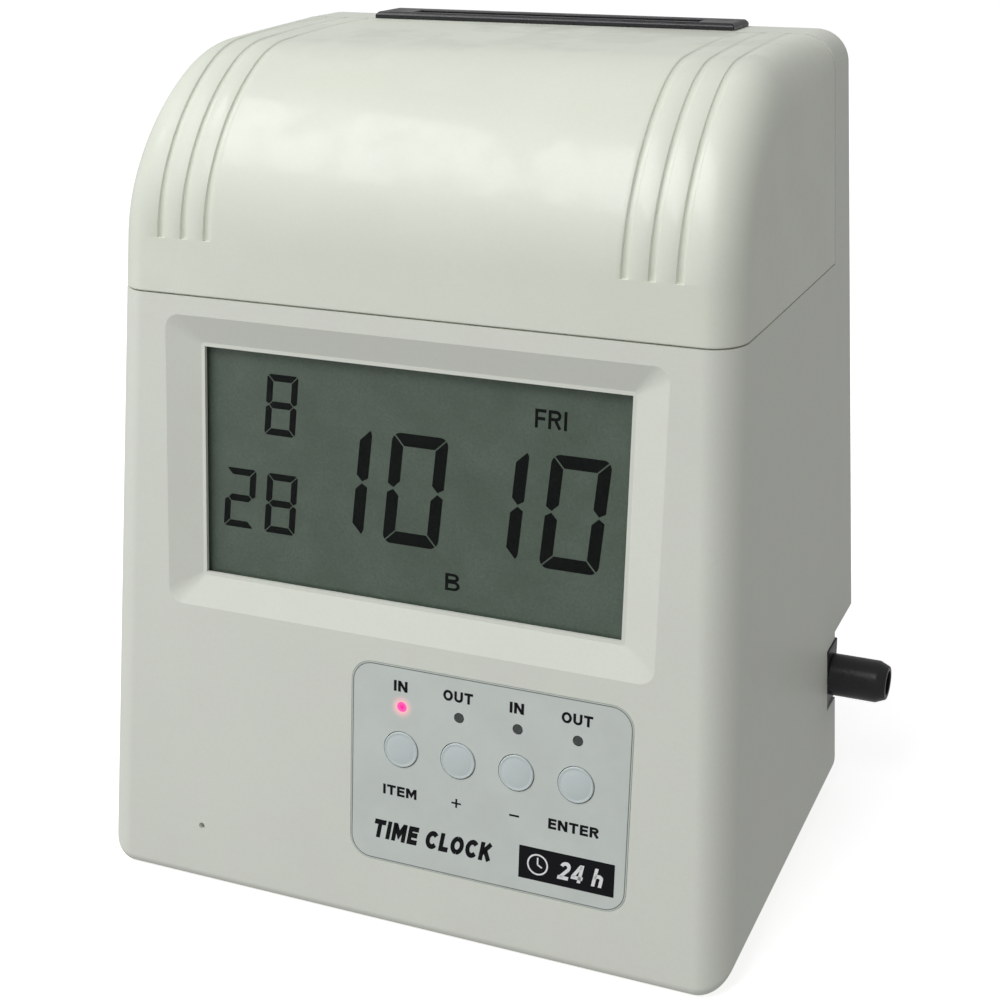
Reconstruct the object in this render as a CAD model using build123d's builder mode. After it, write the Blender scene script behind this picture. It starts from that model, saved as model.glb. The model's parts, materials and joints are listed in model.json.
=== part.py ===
from build123d import *
import os
from math import acos, cos, pi, radians, sin, tan

# A punch time clock: a moulded case that leans back, a lift-off hood over the printer, a
# rear housing with the card chute, and the display, keys, printer and supply inside.
# Millimetres. +X to the clock's own right as its user sees it, +Y to the rear, +Z up.
# The origin is on the underside, midway between the sides and near the middle of the depth.

# ---- case ---------------------------------------------------------------------------
base_width = 184.55       # across the sides at the table
side_draft = 2.6          # lean of each side, degrees
front_foot_y = -66.78     # front face where it meets the table
front_lean = 7.42         # lean of the front face, degrees
rear_foot_y = 72.6        # rear face carried down to the table
rear_lean = 2.13          # lean of the rear face, degrees
top_height = 223.4
seam_height = 162.4       # underside of the hood
seam_gap = 0.4            # open line round the hood
seam_y = 46.5             # plane between the case and the rear housing
housing_bottom = 51.0     # underside of the rear housing
wall = 2.5
edge_radius = 9.0         # rounding along the sides
toe_radius = 3.2          # rounding of the other edges of the front, bottom, rear and roof
tongue_height = 2.4       # lip of the case inside the hood
tongue_outset = 1.4       # outer skin left outside that lip
fit_gap = 0.3             # clearance between parts that slide past each other

# ---- hood -----------------------------------------------------------------------------
# arcs that turn the front into the roof: radius, and the lean reached at its end, degrees
crest_arcs = ((44.2, 28.65), (65.5, 59.96), (36.5, 86.29), (701.0, 90.0))
hood_lift = 90.0          # travel that frees the hood from the printer
groove_x = (56.4, 63.2, 70.0)
groove_width = 1.8
groove_depth = 0.7

# ---- display --------------------------------------------------------------------------
recess_width = 138.0
recess_height = 78.0
recess_v = 119.55         # centre, measured up the sloping front
recess_depth = 3.0
recess_radius = 4.0
window_width = 118.2
window_height = 60.9
window_v = 119.95
lip = 1.0                 # edge of the window opening
lens_margin = 3.0         # lens hidden behind the lip all round
lens_thickness = 1.0
lcd_gap = 0.2
lcd_thickness = 2.8
holder_depth = 3.6
holder_wall = 4.0
board_thickness = 1.6

# ---- keys -----------------------------------------------------------------------------
panel_width = 78.0
panel_height = 55.2
panel_x = 25.7
panel_v = 46.45
panel_radius = 6.0
panel_depth = 0.5
key_pitch = 16.25
key_count = 4
key_v = 51.25
key_radius = 4.7
key_rise = 0.9            # height of the crown above the panel
key_travel = 0.5
key_skirt = 1.0           # flange that keeps the key in the case
key_skirt_depth = 0.8
switch_size = 6.0
led_v = 62.95
led_radius = 1.25
sounder_x = -59.6
sounder_v = 16.95
sounder_hole_radius = 0.9
sounder_rise = 5.3        # centre of the sounder above its hole
sounder_radius = 6.0
sounder_length = 5.0

# ---- card chute -----------------------------------------------------------------------
card_width = 85.0
card_side_gap = 0.75      # play of the card at each side
chute_front_y = 49.0
chute_gap = 7.0
sheet = 1.2
chute_flange = 2.5        # sheet left beside the card
chute_foot = 3.0          # chute above the housing's floor
chute_top = 219.0
bezel_width = 108.6
bezel_front_y = 46.7
bezel_rear_y = 61.0
bezel_rise = 1.9
bezel_chamfer = 0.8

# ---- printer frame --------------------------------------------------------------------
plate_x = 58.0            # inner faces of the side plates
plate_front_y = -14.0
plate_top = 206.0
plate_step_z = 56.0
deck_z = 158.0
deck_rear_y = 32.0
rod_radius = 3.0
rod_z = 174.0
front_rod_y = 12.0
rear_rod_y = 38.0
screw_y = 25.0
shaft_play = 0.05         # running clearance of every turning or sliding shaft
carriage_width = 26.0
carriage_front_y = 6.0
carriage_rear_y = 44.0
carriage_bottom = 168.0
carriage_top = 180.0
carriage_start_x = -25.0
head_width = 18.0
head_front_y = 27.0
head_height = 16.0
head_nose_y = 46.6
head_fins = 5
carriage_motor_radius = 10.0
carriage_motor_length = 19.0

# ---- card feed ------------------------------------------------------------------------
feed_y = 41.5
feed_z = 156.0
feed_radius = 7.3
feed_shaft_radius = 3.0
roller_x = 24.0
roller_width = 10.0
gear_module = 0.7
gear_teeth = 42
pinion_teeth = 14
gear_face = 5.0
gear_side_gap = 2.0       # between the side plate and the gears
gear_backlash = 0.12
pinion_drop = 45.0        # direction from the gear down to the pinion, degrees
feed_motor_radius = 12.0
feed_motor_length = 24.0
pinch_pivot_y = 59.6
pinch_pivot_z = 126.0
pinch_radius = 2.9
pinch_axle_radius = 1.2
pinch_pivot_radius = 1.5
pinch_arm_radius = 2.3

# ---- ribbon ---------------------------------------------------------------------------
cassette_width = 112.0
cassette_front_y = -22.0
cassette_rear_y = 22.0
cassette_bottom = 181.0
cassette_height = 20.0
cassette_wall = 1.5
cassette_arm = 10.0
ribbon_bottom = 186.5
ribbon_height = 8.0
ribbon_thickness = 0.2
ribbon_y = 46.95
spool_x = 27.0
spool_y = -1.0
spool_radius = 17.5
spool_core_radius = 6.0
spool_post_radius = 2.9
knob_radius = 6.0
knob_rise = 4.0

# ---- lock -----------------------------------------------------------------------------
lock_y = 4.0
lock_z = 146.0
lock_radius = 8.0
lock_rim = 11.0
lock_rim_thickness = 2.0
plug_radius = 5.5
cam_length = 20.0
cam_width = 7.0
cam_thickness = 1.5
keeper_gap = 0.6          # under the turned cam
keeper_width = 8.0
keeper_z = 169.0          # where the keeper is fixed in the hood

# ---- supply lead gland ----------------------------------------------------------------
gland_y = 43.0
gland_z = 39.0
notch_front_y = 37.0
notch_bottom = 29.6
notch_top = 49.0
gland_block_gap = 0.3
gland_radius = 6.2
gland_length = 13.8
gland_tip = 3.0
gland_tip_radius = 4.9
gland_bore_radius = 3.6

# ---- boards, supply and feet ----------------------------------------------------------
main_board_y = -21.0
main_board_width = 112.0
main_board_bottom = 18.0
main_board_height = 130.0
foot_radius = 7.0
foot_depth = 1.2
foot_x = 66.0
foot_front_y = -44.0
foot_rear_y = 32.0
keyhole_x = 40.0
keyhole_z = 186.0
keyhole_radius = 4.5
keyhole_slot_radius = 2.4
keyhole_slot = 9.0
case_screw_z = (66.0, 150.0)
screw_radius = 1.5
screw_head_radius = 2.9
screw_head_height = 2.0
screw_grip = 10.0         # length of the screws in the front case
screw_pocket = 8.0        # depth of the heads below the rear face
boss_radius = 4.5

# ---- values that follow from the sizes above ------------------------------------------
lean = radians(front_lean)
face = Plane(
    origin=(0, front_foot_y, 0), x_dir=(1, 0, 0), z_dir=(0, -cos(lean), sin(lean))
)
lens_depth = recess_depth + lip
lcd_depth = lens_depth + lens_thickness + lcd_gap
holder_back = lcd_depth + lcd_thickness + holder_depth
chute_rear_y = chute_front_y + chute_gap
slot_half = card_width / 2 + card_side_gap
gear_radius = gear_module * gear_teeth / 2
pinion_radius = gear_module * pinion_teeth / 2
pinion_y = feed_y - (gear_radius + pinion_radius) * cos(radians(pinion_drop))
pinion_z = feed_z - (gear_radius + pinion_radius) * sin(radians(pinion_drop))
bend_z = top_height       # where the flat front turns into the first arc
arc_start = lean
for radius, arc_end in crest_arcs:
    bend_z -= radius * (sin(radians(arc_end)) - sin(arc_start))
    arc_start = radians(arc_end)
beyond = 2 * base_width   # larger than the clock in every direction
pinch_half = roller_x + roller_width / 2 + 3.0
key_places = [
    panel_x + key_pitch * (i - (key_count - 1) / 2) for i in range(key_count)
]


def half_width(z, inset=0.0):
    slope = radians(side_draft)
    return base_width / 2 - z * tan(slope) - inset / cos(slope)


def front_y(z, inset=0.0):
    return front_foot_y + z * tan(lean) + inset / cos(lean)


def rear_y(z, inset=0.0):
    slope = radians(rear_lean)
    return rear_foot_y - z * tan(slope) - inset / cos(slope)


screw_places = [
    (side * (half_width(z, wall) - boss_radius + 1.0), z) for side in (-1, 1) for z in case_screw_z
]


# A block given by its low and high corners.
def slab(low, high, mode=Mode.ADD):
    size = [b - a for a, b in zip(low, high)]
    middle = tuple(a + s / 2 for a, s in zip(low, size))
    with Locations(middle):
        Box(*size, mode=mode)


# A round bar along X.
def bar(x0, x1, y, z, radius, mode=Mode.ADD):
    with Locations(Location(((x0 + x1) / 2, y, z), (0, 90, 0))):
        Cylinder(radius, abs(x1 - x0), mode=mode)


# A round post along Y at each case screw.
def screw_posts(y0, y1, radius, mode=Mode.ADD):
    with Locations([Location((x, (y0 + y1) / 2, z), (90, 0, 0)) for x, z in screw_places]):
        Cylinder(radius, abs(y1 - y0), mode=mode)


# The closed outer form of the whole clock, every face moved inwards by the inset.
def envelope(inset):
    spot = Vector(front_y(bend_z), bend_z) + inset * Vector(cos(lean), -sin(lean))
    heading = Vector(sin(lean), cos(lean))
    start = front_lean
    toe = Vector(front_y(inset, inset), inset)
    heel = Vector(rear_y(inset, inset), inset)
    crown = Vector(rear_y(top_height - inset, inset), top_height - inset)
    with BuildPart() as form:
        with BuildSketch(Plane.YZ):
            with BuildLine():
                Line(toe, spot)
                for radius, end in crest_arcs:
                    arc = JernArc(spot, heading, radius - inset, start - end)
                    spot, heading, start = arc @ 1, arc % 1, end
                Polyline(spot, crown, heel, toe)
            make_face()
        extrude(amount=base_width, both=True)
        with BuildSketch(Plane.XZ):
            with BuildLine():
                Polyline(
                    (-half_width(0, inset), 0),
                    (half_width(0, inset), 0),
                    (half_width(top_height, inset), top_height),
                    (-half_width(top_height, inset), top_height),
                    close=True,
                )
            make_face()
        extrude(amount=beyond, both=True, mode=Mode.INTERSECT)
        sides = form.faces().sort_by(Axis.X)
        along = sides[0].edges().sort_by(Axis.Y)[:-1] + sides[-1].edges().sort_by(Axis.Y)[:-1]
        fillet(along, edge_radius - inset)
        toe_edge = form.edges().filter_by(Axis.X).group_by(Axis.Z)[0].sort_by(Axis.Y)[0]
        fillet([toe_edge] + form.faces().sort_by(Axis.Y)[-1].edges(), toe_radius - inset)
    return form.part


# The outline of an involute gear, as points round its centre, with a tooth at the phase angle.
def gear_outline(teeth, phase, y, z):
    pitch = gear_module * teeth / 2
    base = pitch * cos(radians(20))
    tip = pitch + 0.8 * gear_module
    root = pitch - 1.2 * gear_module
    slope = radians(20)
    half_tooth = pi / (2 * teeth) - gear_backlash / (2 * pitch) + tan(slope) - slope
    foot = max(base, root)
    radii = [foot, pitch, tip]
    flank = [(root, half_tooth)] if root < base else []
    for r in radii:
        turn = acos(base / r)
        flank.append((r, half_tooth - tan(turn) + turn))
    points = []
    for i in range(teeth):
        middle = radians(phase) + 2 * pi * i / teeth
        for r, a in flank:
            points.append((y + r * cos(middle - a), z + r * sin(middle - a)))
        for r, a in reversed(flank):
            points.append((y + r * cos(middle + a), z + r * sin(middle + a)))
    return points


screw_seat_y = rear_y(max(case_screw_z)) - screw_pocket
pieces = []


def finish(builder, label):
    builder.part.label = label
    pieces.append(builder.part)


outer = envelope(0)
inner = envelope(wall)
tongue_skin = envelope(tongue_outset)
rebate_skin = envelope(tongue_outset - fit_gap)

# ---- front case -------------------------------------------------------------------------
with BuildPart() as case_hollow:
    add(inner)
    slab(
        (-beyond, seam_y - wall, -beyond),
        (beyond, beyond, housing_bottom),
        mode=Mode.SUBTRACT,
    )

with BuildPart() as tongue:
    add(tongue_skin)
    slab(
        (-beyond, -beyond, seam_height - seam_gap - wall),
        (beyond, seam_y, seam_height + tongue_height),
        mode=Mode.INTERSECT,
    )
    add(inner, mode=Mode.SUBTRACT)

case_top = seam_height - seam_gap
with BuildPart() as front_case:
    add(outer)
    slab((-beyond, -beyond, -beyond), (beyond, seam_y, case_top), mode=Mode.INTERSECT)
    add(case_hollow.part, mode=Mode.SUBTRACT)
    add(tongue.part)
    # thick frame behind the display recess
    with BuildSketch(face.offset(-wall / 2)):
        with Locations((0, recess_v)):
            Rectangle(recess_width, recess_height)
    extrude(amount=-(lens_depth + lens_thickness - wall / 2))
    # sloping sides of the recess
    with BuildSketch(face):
        with Locations((0, recess_v)):
            RectangleRounded(recess_width, recess_height, recess_radius)
    with BuildSketch(face.offset(-recess_depth)):
        with Locations((0, window_v)):
            RectangleRounded(window_width + 2 * lip, window_height + 2 * lip, lip)
    loft(mode=Mode.SUBTRACT)
    with BuildSketch(face):
        with Locations((0, window_v)):
            Rectangle(window_width, window_height)
    extrude(amount=-(lens_depth + lens_thickness), mode=Mode.SUBTRACT)
    with BuildSketch(face.offset(-lens_depth)):
        with Locations((0, window_v)):
            Rectangle(
                window_width + 2 * lens_margin, window_height + 2 * lens_margin
            )
    extrude(amount=-2 * lens_thickness, mode=Mode.SUBTRACT)
    # key panel recess, key and lamp holes
    with BuildSketch(face):
        with Locations((panel_x, panel_v)):
            RectangleRounded(panel_width, panel_height, panel_radius)
    extrude(amount=-panel_depth, mode=Mode.SUBTRACT)
    with BuildSketch(face):
        with Locations([(x, key_v) for x in key_places]):
            Circle(key_radius + fit_gap)
        with Locations([(x, led_v) for x in key_places]):
            Circle(led_radius + fit_gap)
        with Locations((sounder_x, sounder_v)):
            Circle(sounder_hole_radius)
    extrude(amount=-2 * wall, mode=Mode.SUBTRACT)
    # notch for the supply lead gland, open to the rear
    slab(
        (base_width / 4, notch_front_y, notch_bottom),
        (beyond, beyond, notch_top),
        mode=Mode.SUBTRACT,
    )
    # pockets for the rubber feet
    with Locations([(x, y, 0) for x in (-foot_x, foot_x) for y in (foot_front_y, foot_rear_y)]):
        Cylinder(
            foot_radius + fit_gap,
            foot_depth,
            align=(Align.CENTER, Align.CENTER, Align.MIN),
            mode=Mode.SUBTRACT,
        )
    # bosses for the case screws
    screw_posts(seam_y - screw_grip - wall, seam_y, boss_radius)
    screw_posts(seam_y - screw_grip, seam_y, screw_radius, mode=Mode.SUBTRACT)
    # hole for the lock
    bar(-beyond, -base_width / 4, lock_y, lock_z, lock_radius, mode=Mode.SUBTRACT)
finish(front_case, "front_case")

# ---- hood -------------------------------------------------------------------------------
with BuildPart() as groove_skin:
    add(outer)
    add(envelope(groove_depth), mode=Mode.SUBTRACT)
    slab((-beyond, -beyond, bend_z), (beyond, seam_y, beyond), mode=Mode.INTERSECT)

with BuildPart() as grooves:
    for x in groove_x:
        for side in (-1, 1):
            slab(
                (side * x - groove_width / 2, -beyond, bend_z),
                (side * x + groove_width / 2, seam_y, beyond),
            )
    add(groove_skin.part, mode=Mode.INTERSECT)

with BuildPart() as hood:
    add(outer)
    slab(
        (-beyond, -beyond, seam_height),
        (beyond, seam_y - seam_gap, beyond),
        mode=Mode.INTERSECT,
    )
    add(inner, mode=Mode.SUBTRACT)
    add(grooves.part, mode=Mode.SUBTRACT)

with BuildPart() as rebate:
    add(rebate_skin)
    slab(
        (-beyond, -beyond, seam_height - wall),
        (beyond, beyond, seam_height + tongue_height),
        mode=Mode.INTERSECT,
    )

with BuildPart() as hood_shell:
    add(hood.part)
    add(rebate.part, mode=Mode.SUBTRACT)
finish(hood_shell, "hood")

# ---- rear housing with the card slot ------------------------------------------------------
with BuildPart() as housing_hollow:
    add(inner)
    slab(
        (-beyond, -beyond, housing_bottom + wall),
        (beyond, beyond, beyond),
        mode=Mode.INTERSECT,
    )

with BuildPart() as rear_housing:
    add(outer)
    slab((-beyond, seam_y, housing_bottom), (beyond, beyond, beyond), mode=Mode.INTERSECT)
    add(housing_hollow.part, mode=Mode.SUBTRACT)
    slab(
        (-slot_half, chute_front_y, top_height - 2 * wall),
        (slot_half, chute_rear_y, beyond),
        mode=Mode.SUBTRACT,
    )
    for side in (-1, 1):
        with Locations(Location((side * keyhole_x, rear_foot_y, keyhole_z), (90, 0, 0))):
            Cylinder(keyhole_radius, 8 * wall, mode=Mode.SUBTRACT)
        with Locations(
            Location((side * keyhole_x, rear_foot_y, keyhole_z + keyhole_slot), (90, 0, 0))
        ):
            Cylinder(keyhole_slot_radius, 8 * wall, mode=Mode.SUBTRACT)
        slab(
            (side * keyhole_x - keyhole_slot_radius, chute_rear_y, keyhole_z),
            (side * keyhole_x + keyhole_slot_radius, beyond, keyhole_z + keyhole_slot),
            mode=Mode.SUBTRACT,
        )
    # bosses, bores and head pockets for the case screws
    screw_posts(seam_y, screw_seat_y + wall, boss_radius)
    screw_posts(seam_y, beyond, screw_radius + fit_gap, mode=Mode.SUBTRACT)
    screw_posts(screw_seat_y, beyond, screw_head_radius + fit_gap, mode=Mode.SUBTRACT)
finish(rear_housing, "rear_housing")

with BuildPart() as slot_bezel:
    slab(
        (-bezel_width / 2, bezel_front_y, top_height),
        (bezel_width / 2, bezel_rear_y, top_height + bezel_rise),
    )
    chamfer(slot_bezel.edges().group_by(Axis.Z)[-1], bezel_chamfer)
    slab(
        (-slot_half, chute_front_y, top_height - bezel_rise),
        (slot_half, chute_rear_y, beyond),
        mode=Mode.SUBTRACT,
    )
finish(slot_bezel, "slot_bezel")

# ---- display -----------------------------------------------------------------------------
lens_size = (
    window_width + 2 * lens_margin - fit_gap,
    window_height + 2 * lens_margin - fit_gap,
)
with BuildPart() as display_window:
    with BuildSketch(face.offset(-lens_depth)):
        with Locations((0, window_v)):
            Rectangle(*lens_size)
    extrude(amount=-lens_thickness)
finish(display_window, "display_window")

with BuildPart() as lcd_panel:
    with BuildSketch(face.offset(-lcd_depth)):
        with Locations((0, window_v)):
            Rectangle(*lens_size)
    extrude(amount=-lcd_thickness)
finish(lcd_panel, "lcd_panel")

with BuildPart() as lcd_holder:
    with BuildSketch(face.offset(-(lcd_depth + lcd_thickness))):
        with Locations((0, window_v)):
            Rectangle(*lens_size)
            Rectangle(
                lens_size[0] - 2 * holder_wall,
                lens_size[1] - 2 * holder_wall,
                mode=Mode.SUBTRACT,
            )
    extrude(amount=-holder_depth)
finish(lcd_holder, "lcd_holder")

with BuildPart() as lcd_board:
    with BuildSketch(face.offset(-holder_back)):
        with Locations((0, window_v)):
            Rectangle(recess_width, lens_size[1])
    extrude(amount=-board_thickness)
finish(lcd_board, "lcd_board")

# ---- key panel ---------------------------------------------------------------------------
with BuildPart() as key_panel:
    with BuildSketch(face):
        with Locations((panel_x, panel_v)):
            RectangleRounded(
                panel_width - fit_gap, panel_height - fit_gap, panel_radius - fit_gap / 2
            )
        with Locations([(x, key_v) for x in key_places]):
            Circle(key_radius + fit_gap, mode=Mode.SUBTRACT)
        with Locations([(x, led_v) for x in key_places]):
            Circle(led_radius + fit_gap / 2, mode=Mode.SUBTRACT)
    extrude(amount=-panel_depth)
finish(key_panel, "key_panel")

skirt_front = wall + fit_gap
key_names = ("item_key", "plus_key", "minus_key", "enter_key")
for name, x in zip(key_names, key_places):
    with BuildPart() as key:
        with BuildSketch(face.offset(-skirt_front - key_skirt_depth)):
            with Locations((x, key_v)):
                Circle(key_radius)
        extrude(amount=skirt_front + key_skirt_depth + key_rise)
        chamfer(key.edges().filter_by(GeomType.CIRCLE).sort_by(Axis.Y)[0], key_rise / 2)
        with BuildSketch(face.offset(-skirt_front)):
            with Locations((x, key_v)):
                Circle(key_radius + key_skirt)
        extrude(amount=-key_skirt_depth)
    finish(key, name)

switch_front = skirt_front + key_skirt_depth + key_travel + 0.1
key_board_depth = switch_front + 3.0
with BuildPart() as key_board:
    with BuildSketch(face.offset(-key_board_depth)):
        with Locations((panel_x, (key_v + led_v) / 2)):
            Rectangle(panel_width, 26.0)
    extrude(amount=-board_thickness)
finish(key_board, "key_board")

with BuildPart() as key_switches:
    with BuildSketch(face.offset(-key_board_depth)):
        with Locations([(x, key_v) for x in key_places]):
            Rectangle(switch_size, switch_size)
    extrude(amount=key_board_depth - switch_front - 1.0)
    with BuildSketch(face.offset(-switch_front - 1.0)):
        with Locations([(x, key_v) for x in key_places]):
            Circle(switch_size / 4)
    extrude(amount=1.0)
finish(key_switches, "key_switches")


# A lamp on the key board whose dome shows in the panel.
def lamps(label, places):
    with BuildPart() as group:
        with BuildSketch(face.offset(-key_board_depth)):
            with Locations([(x, led_v) for x in places]):
                Circle(led_radius)
        extrude(amount=key_board_depth - 0.1)
    finish(group, label)


lamps("lit_lamp", key_places[:1])
lamps("unlit_lamps", key_places[1:])

with BuildPart() as sounder:
    with BuildSketch(face.offset(-wall)):
        with Locations((sounder_x, sounder_v + sounder_rise)):
            Circle(sounder_radius)
    extrude(amount=-sounder_length)
finish(sounder, "sounder")

# ---- printer frame ------------------------------------------------------------------------
plate_names = {"left_side_plate": -1, "right_side_plate": 1}
for name, side in plate_names.items():
    start = side * plate_x if side > 0 else side * (plate_x + sheet)
    with BuildPart() as plate:
        with BuildSketch(Plane.YZ.offset(start)):
            with BuildLine():
                Polyline(
                    (plate_front_y, wall),
                    (seam_y - wall - 0.5, wall),
                    (seam_y - wall - 0.5, plate_step_z),
                    (chute_front_y - sheet, plate_step_z),
                    (chute_front_y - sheet, plate_top),
                    (plate_front_y, plate_top),
                    close=True,
                )
            make_face()
            with Locations((rear_rod_y, rod_z), (front_rod_y, rod_z)):
                Circle(rod_radius, mode=Mode.SUBTRACT)
            with Locations((screw_y, rod_z), (feed_y, feed_z)):
                Circle(rod_radius + shaft_play, mode=Mode.SUBTRACT)
            with Locations((pinion_y, pinion_z)):
                Circle(pinion_radius, mode=Mode.SUBTRACT)
            with Locations((14.0, 40.0), (14.0, 90.0)):
                RectangleRounded(36.0, 36.0, 6.0, mode=Mode.SUBTRACT)
        extrude(amount=sheet)
    finish(plate, name)

with BuildPart() as deck:
    slab((-plate_x, plate_front_y, deck_z), (plate_x, deck_rear_y, deck_z + sheet))
    for side in (-1, 1):
        slab(
            (min(side * plate_x, side * (plate_x - sheet)), plate_front_y, deck_z - 10.0),
            (max(side * plate_x, side * (plate_x - sheet)), deck_rear_y - 20.0, deck_z),
        )
finish(deck, "printer_deck")

with BuildPart() as guide_rods:
    for y in (front_rod_y, rear_rod_y):
        bar(-plate_x - 2 * sheet, plate_x + 2 * sheet, y, rod_z, rod_radius)
finish(guide_rods, "guide_rods")

with BuildPart() as carriage_motor:
    bar(
        -plate_x - sheet - carriage_motor_length,
        -plate_x - sheet,
        screw_y,
        rod_z,
        carriage_motor_radius,
    )
    bar(
        -plate_x - sheet - carriage_motor_length / 2,
        -plate_x - sheet,
        screw_y,
        rod_z,
        rod_radius + shaft_play,
        mode=Mode.SUBTRACT,
    )
finish(carriage_motor, "carriage_motor")

with BuildPart() as lead_screw:
    bar(
        -plate_x - sheet - carriage_motor_length / 2 + 1.0,
        plate_x + 3 * sheet,
        screw_y,
        rod_z,
        rod_radius,
    )
finish(lead_screw, "lead_screw")

with BuildPart() as carriage:
    slab(
        (carriage_start_x - carriage_width / 2, carriage_front_y, carriage_bottom),
        (carriage_start_x + carriage_width / 2, carriage_rear_y, carriage_top),
    )
    for y in (front_rod_y, rear_rod_y, screw_y):
        bar(-plate_x, plate_x, y, rod_z, rod_radius + shaft_play, mode=Mode.SUBTRACT)
finish(carriage, "print_carriage")

with BuildPart() as print_head:
    slab(
        (carriage_start_x - head_width / 2, head_front_y, carriage_top),
        (carriage_start_x + head_width / 2, carriage_rear_y - 3.0, carriage_top + head_height),
    )
    fin_pitch = (carriage_rear_y - 5.0 - head_front_y) / head_fins
    for i in range(head_fins):
        y = head_front_y + fin_pitch * (i + 0.5)
        slab(
            (-beyond, y, carriage_top + head_height / 3),
            (carriage_start_x - head_width / 4, y + fin_pitch / 2, beyond),
            mode=Mode.SUBTRACT,
        )
        slab(
            (carriage_start_x + head_width / 4, y, carriage_top + head_height / 3),
            (beyond, y + fin_pitch / 2, beyond),
            mode=Mode.SUBTRACT,
        )
    slab(
        (carriage_start_x - 3.0, carriage_rear_y - 3.0, ribbon_bottom),
        (carriage_start_x + 3.0, head_nose_y, ribbon_bottom + ribbon_height),
    )
finish(print_head, "print_head")

# ---- card chute and feed ------------------------------------------------------------------
chute_bottom = housing_bottom + wall + chute_foot
with BuildPart() as chute_front:
    slab(
        (-plate_x - sheet, chute_front_y - sheet, plate_step_z),
        (plate_x + sheet, chute_front_y, plate_top),
    )
    slab(
        (-slot_half - chute_flange, chute_front_y - sheet, plate_top),
        (slot_half + chute_flange, chute_front_y, chute_top),
    )
    slab(
        (-2 * roller_x, 0, ribbon_bottom - 3.0),
        (2 * roller_x, beyond, ribbon_bottom + ribbon_height + 3.0),
        mode=Mode.SUBTRACT,
    )
    for side in (-1, 1):
        slab(
            (side * roller_x - roller_width / 2 - 1.0, 0, feed_z - feed_radius),
            (side * roller_x + roller_width / 2 + 1.0, beyond, feed_z + feed_radius),
            mode=Mode.SUBTRACT,
        )
finish(chute_front, "chute_front")

with BuildPart() as chute_back:
    slab(
        (-slot_half - sheet, chute_rear_y, chute_bottom),
        (slot_half + sheet, chute_rear_y + sheet, chute_top),
    )
    for side in (-1, 1):
        slab(
            (min(side * slot_half, side * (slot_half + sheet)), chute_front_y, chute_bottom),
            (max(side * slot_half, side * (slot_half + sheet)), chute_rear_y, chute_top),
        )
    # windows for the platen and for the swinging rollers
    slab(
        (-slot_half + 4.0, chute_rear_y - 1.0, ribbon_bottom - 2.0),
        (slot_half - 4.0, beyond, ribbon_bottom + ribbon_height + 2.0),
        mode=Mode.SUBTRACT,
    )
    slab(
        (-pinch_half - 1.0, chute_rear_y - 1.0, pinch_pivot_z - 2 * pinch_arm_radius),
        (pinch_half + 1.0, beyond, feed_z + 2 * pinch_radius),
        mode=Mode.SUBTRACT,
    )
finish(chute_back, "chute_back")

with BuildPart() as platen:
    slab(
        (-slot_half + 4.0, chute_rear_y, ribbon_bottom - 2.0),
        (slot_half - 4.0, chute_rear_y + 4.0, ribbon_bottom + ribbon_height + 2.0),
    )
finish(platen, "platen")

with BuildPart() as feed_shaft:
    gear_x = plate_x + sheet + gear_side_gap
    bar(-plate_x - 3 * sheet, gear_x, feed_y, feed_z, feed_shaft_radius)
    bar(gear_x, gear_x + gear_face + 2.0, feed_y, feed_z, feed_shaft_radius)
finish(feed_shaft, "feed_shaft")

with BuildPart() as feed_rollers:
    for side in (-1, 1):
        middle = side * roller_x
        bar(middle - roller_width / 2, middle + roller_width / 2, feed_y, feed_z, feed_radius)
    bar(-plate_x, plate_x, feed_y, feed_z, feed_shaft_radius, mode=Mode.SUBTRACT)
finish(feed_rollers, "feed_rollers")

with BuildPart() as feed_gear:
    with BuildSketch(Plane.YZ.offset(gear_x)):
        with BuildLine():
            Polyline(*gear_outline(gear_teeth, 180 + pinion_drop, feed_y, feed_z), close=True)
        make_face()
        with Locations((feed_y, feed_z)):
            Circle(feed_shaft_radius, mode=Mode.SUBTRACT)
            with PolarLocations(gear_radius / 2 + 1.0, 4):
                Circle(2.4, mode=Mode.SUBTRACT)
    extrude(amount=gear_face)
finish(feed_gear, "feed_gear")

with BuildPart() as motor_pinion:
    gap_phase = pinion_drop + 180 / pinion_teeth
    with BuildSketch(Plane.YZ.offset(gear_x)):
        with BuildLine():
            Polyline(*gear_outline(pinion_teeth, gap_phase, pinion_y, pinion_z), close=True)
        make_face()
    extrude(amount=gear_face)
    bar(plate_x - 8.0, gear_x, pinion_y, pinion_z, 1.5)
finish(motor_pinion, "motor_pinion")

with BuildPart() as feed_motor:
    bar(plate_x - feed_motor_length, plate_x, pinion_y, pinion_z, feed_motor_radius)
    bar(plate_x - 10.0, plate_x, pinion_y, pinion_z, 1.5 + shaft_play, mode=Mode.SUBTRACT)
finish(feed_motor, "feed_motor")

# The pinch arm carries two rollers that swing through the chute's rear plate onto the card.
with BuildPart() as pinch_pivot:
    bar(-pinch_half - 6.0, pinch_half + 6.0, pinch_pivot_y, pinch_pivot_z, pinch_pivot_radius)
finish(pinch_pivot, "pinch_pivot")

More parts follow.
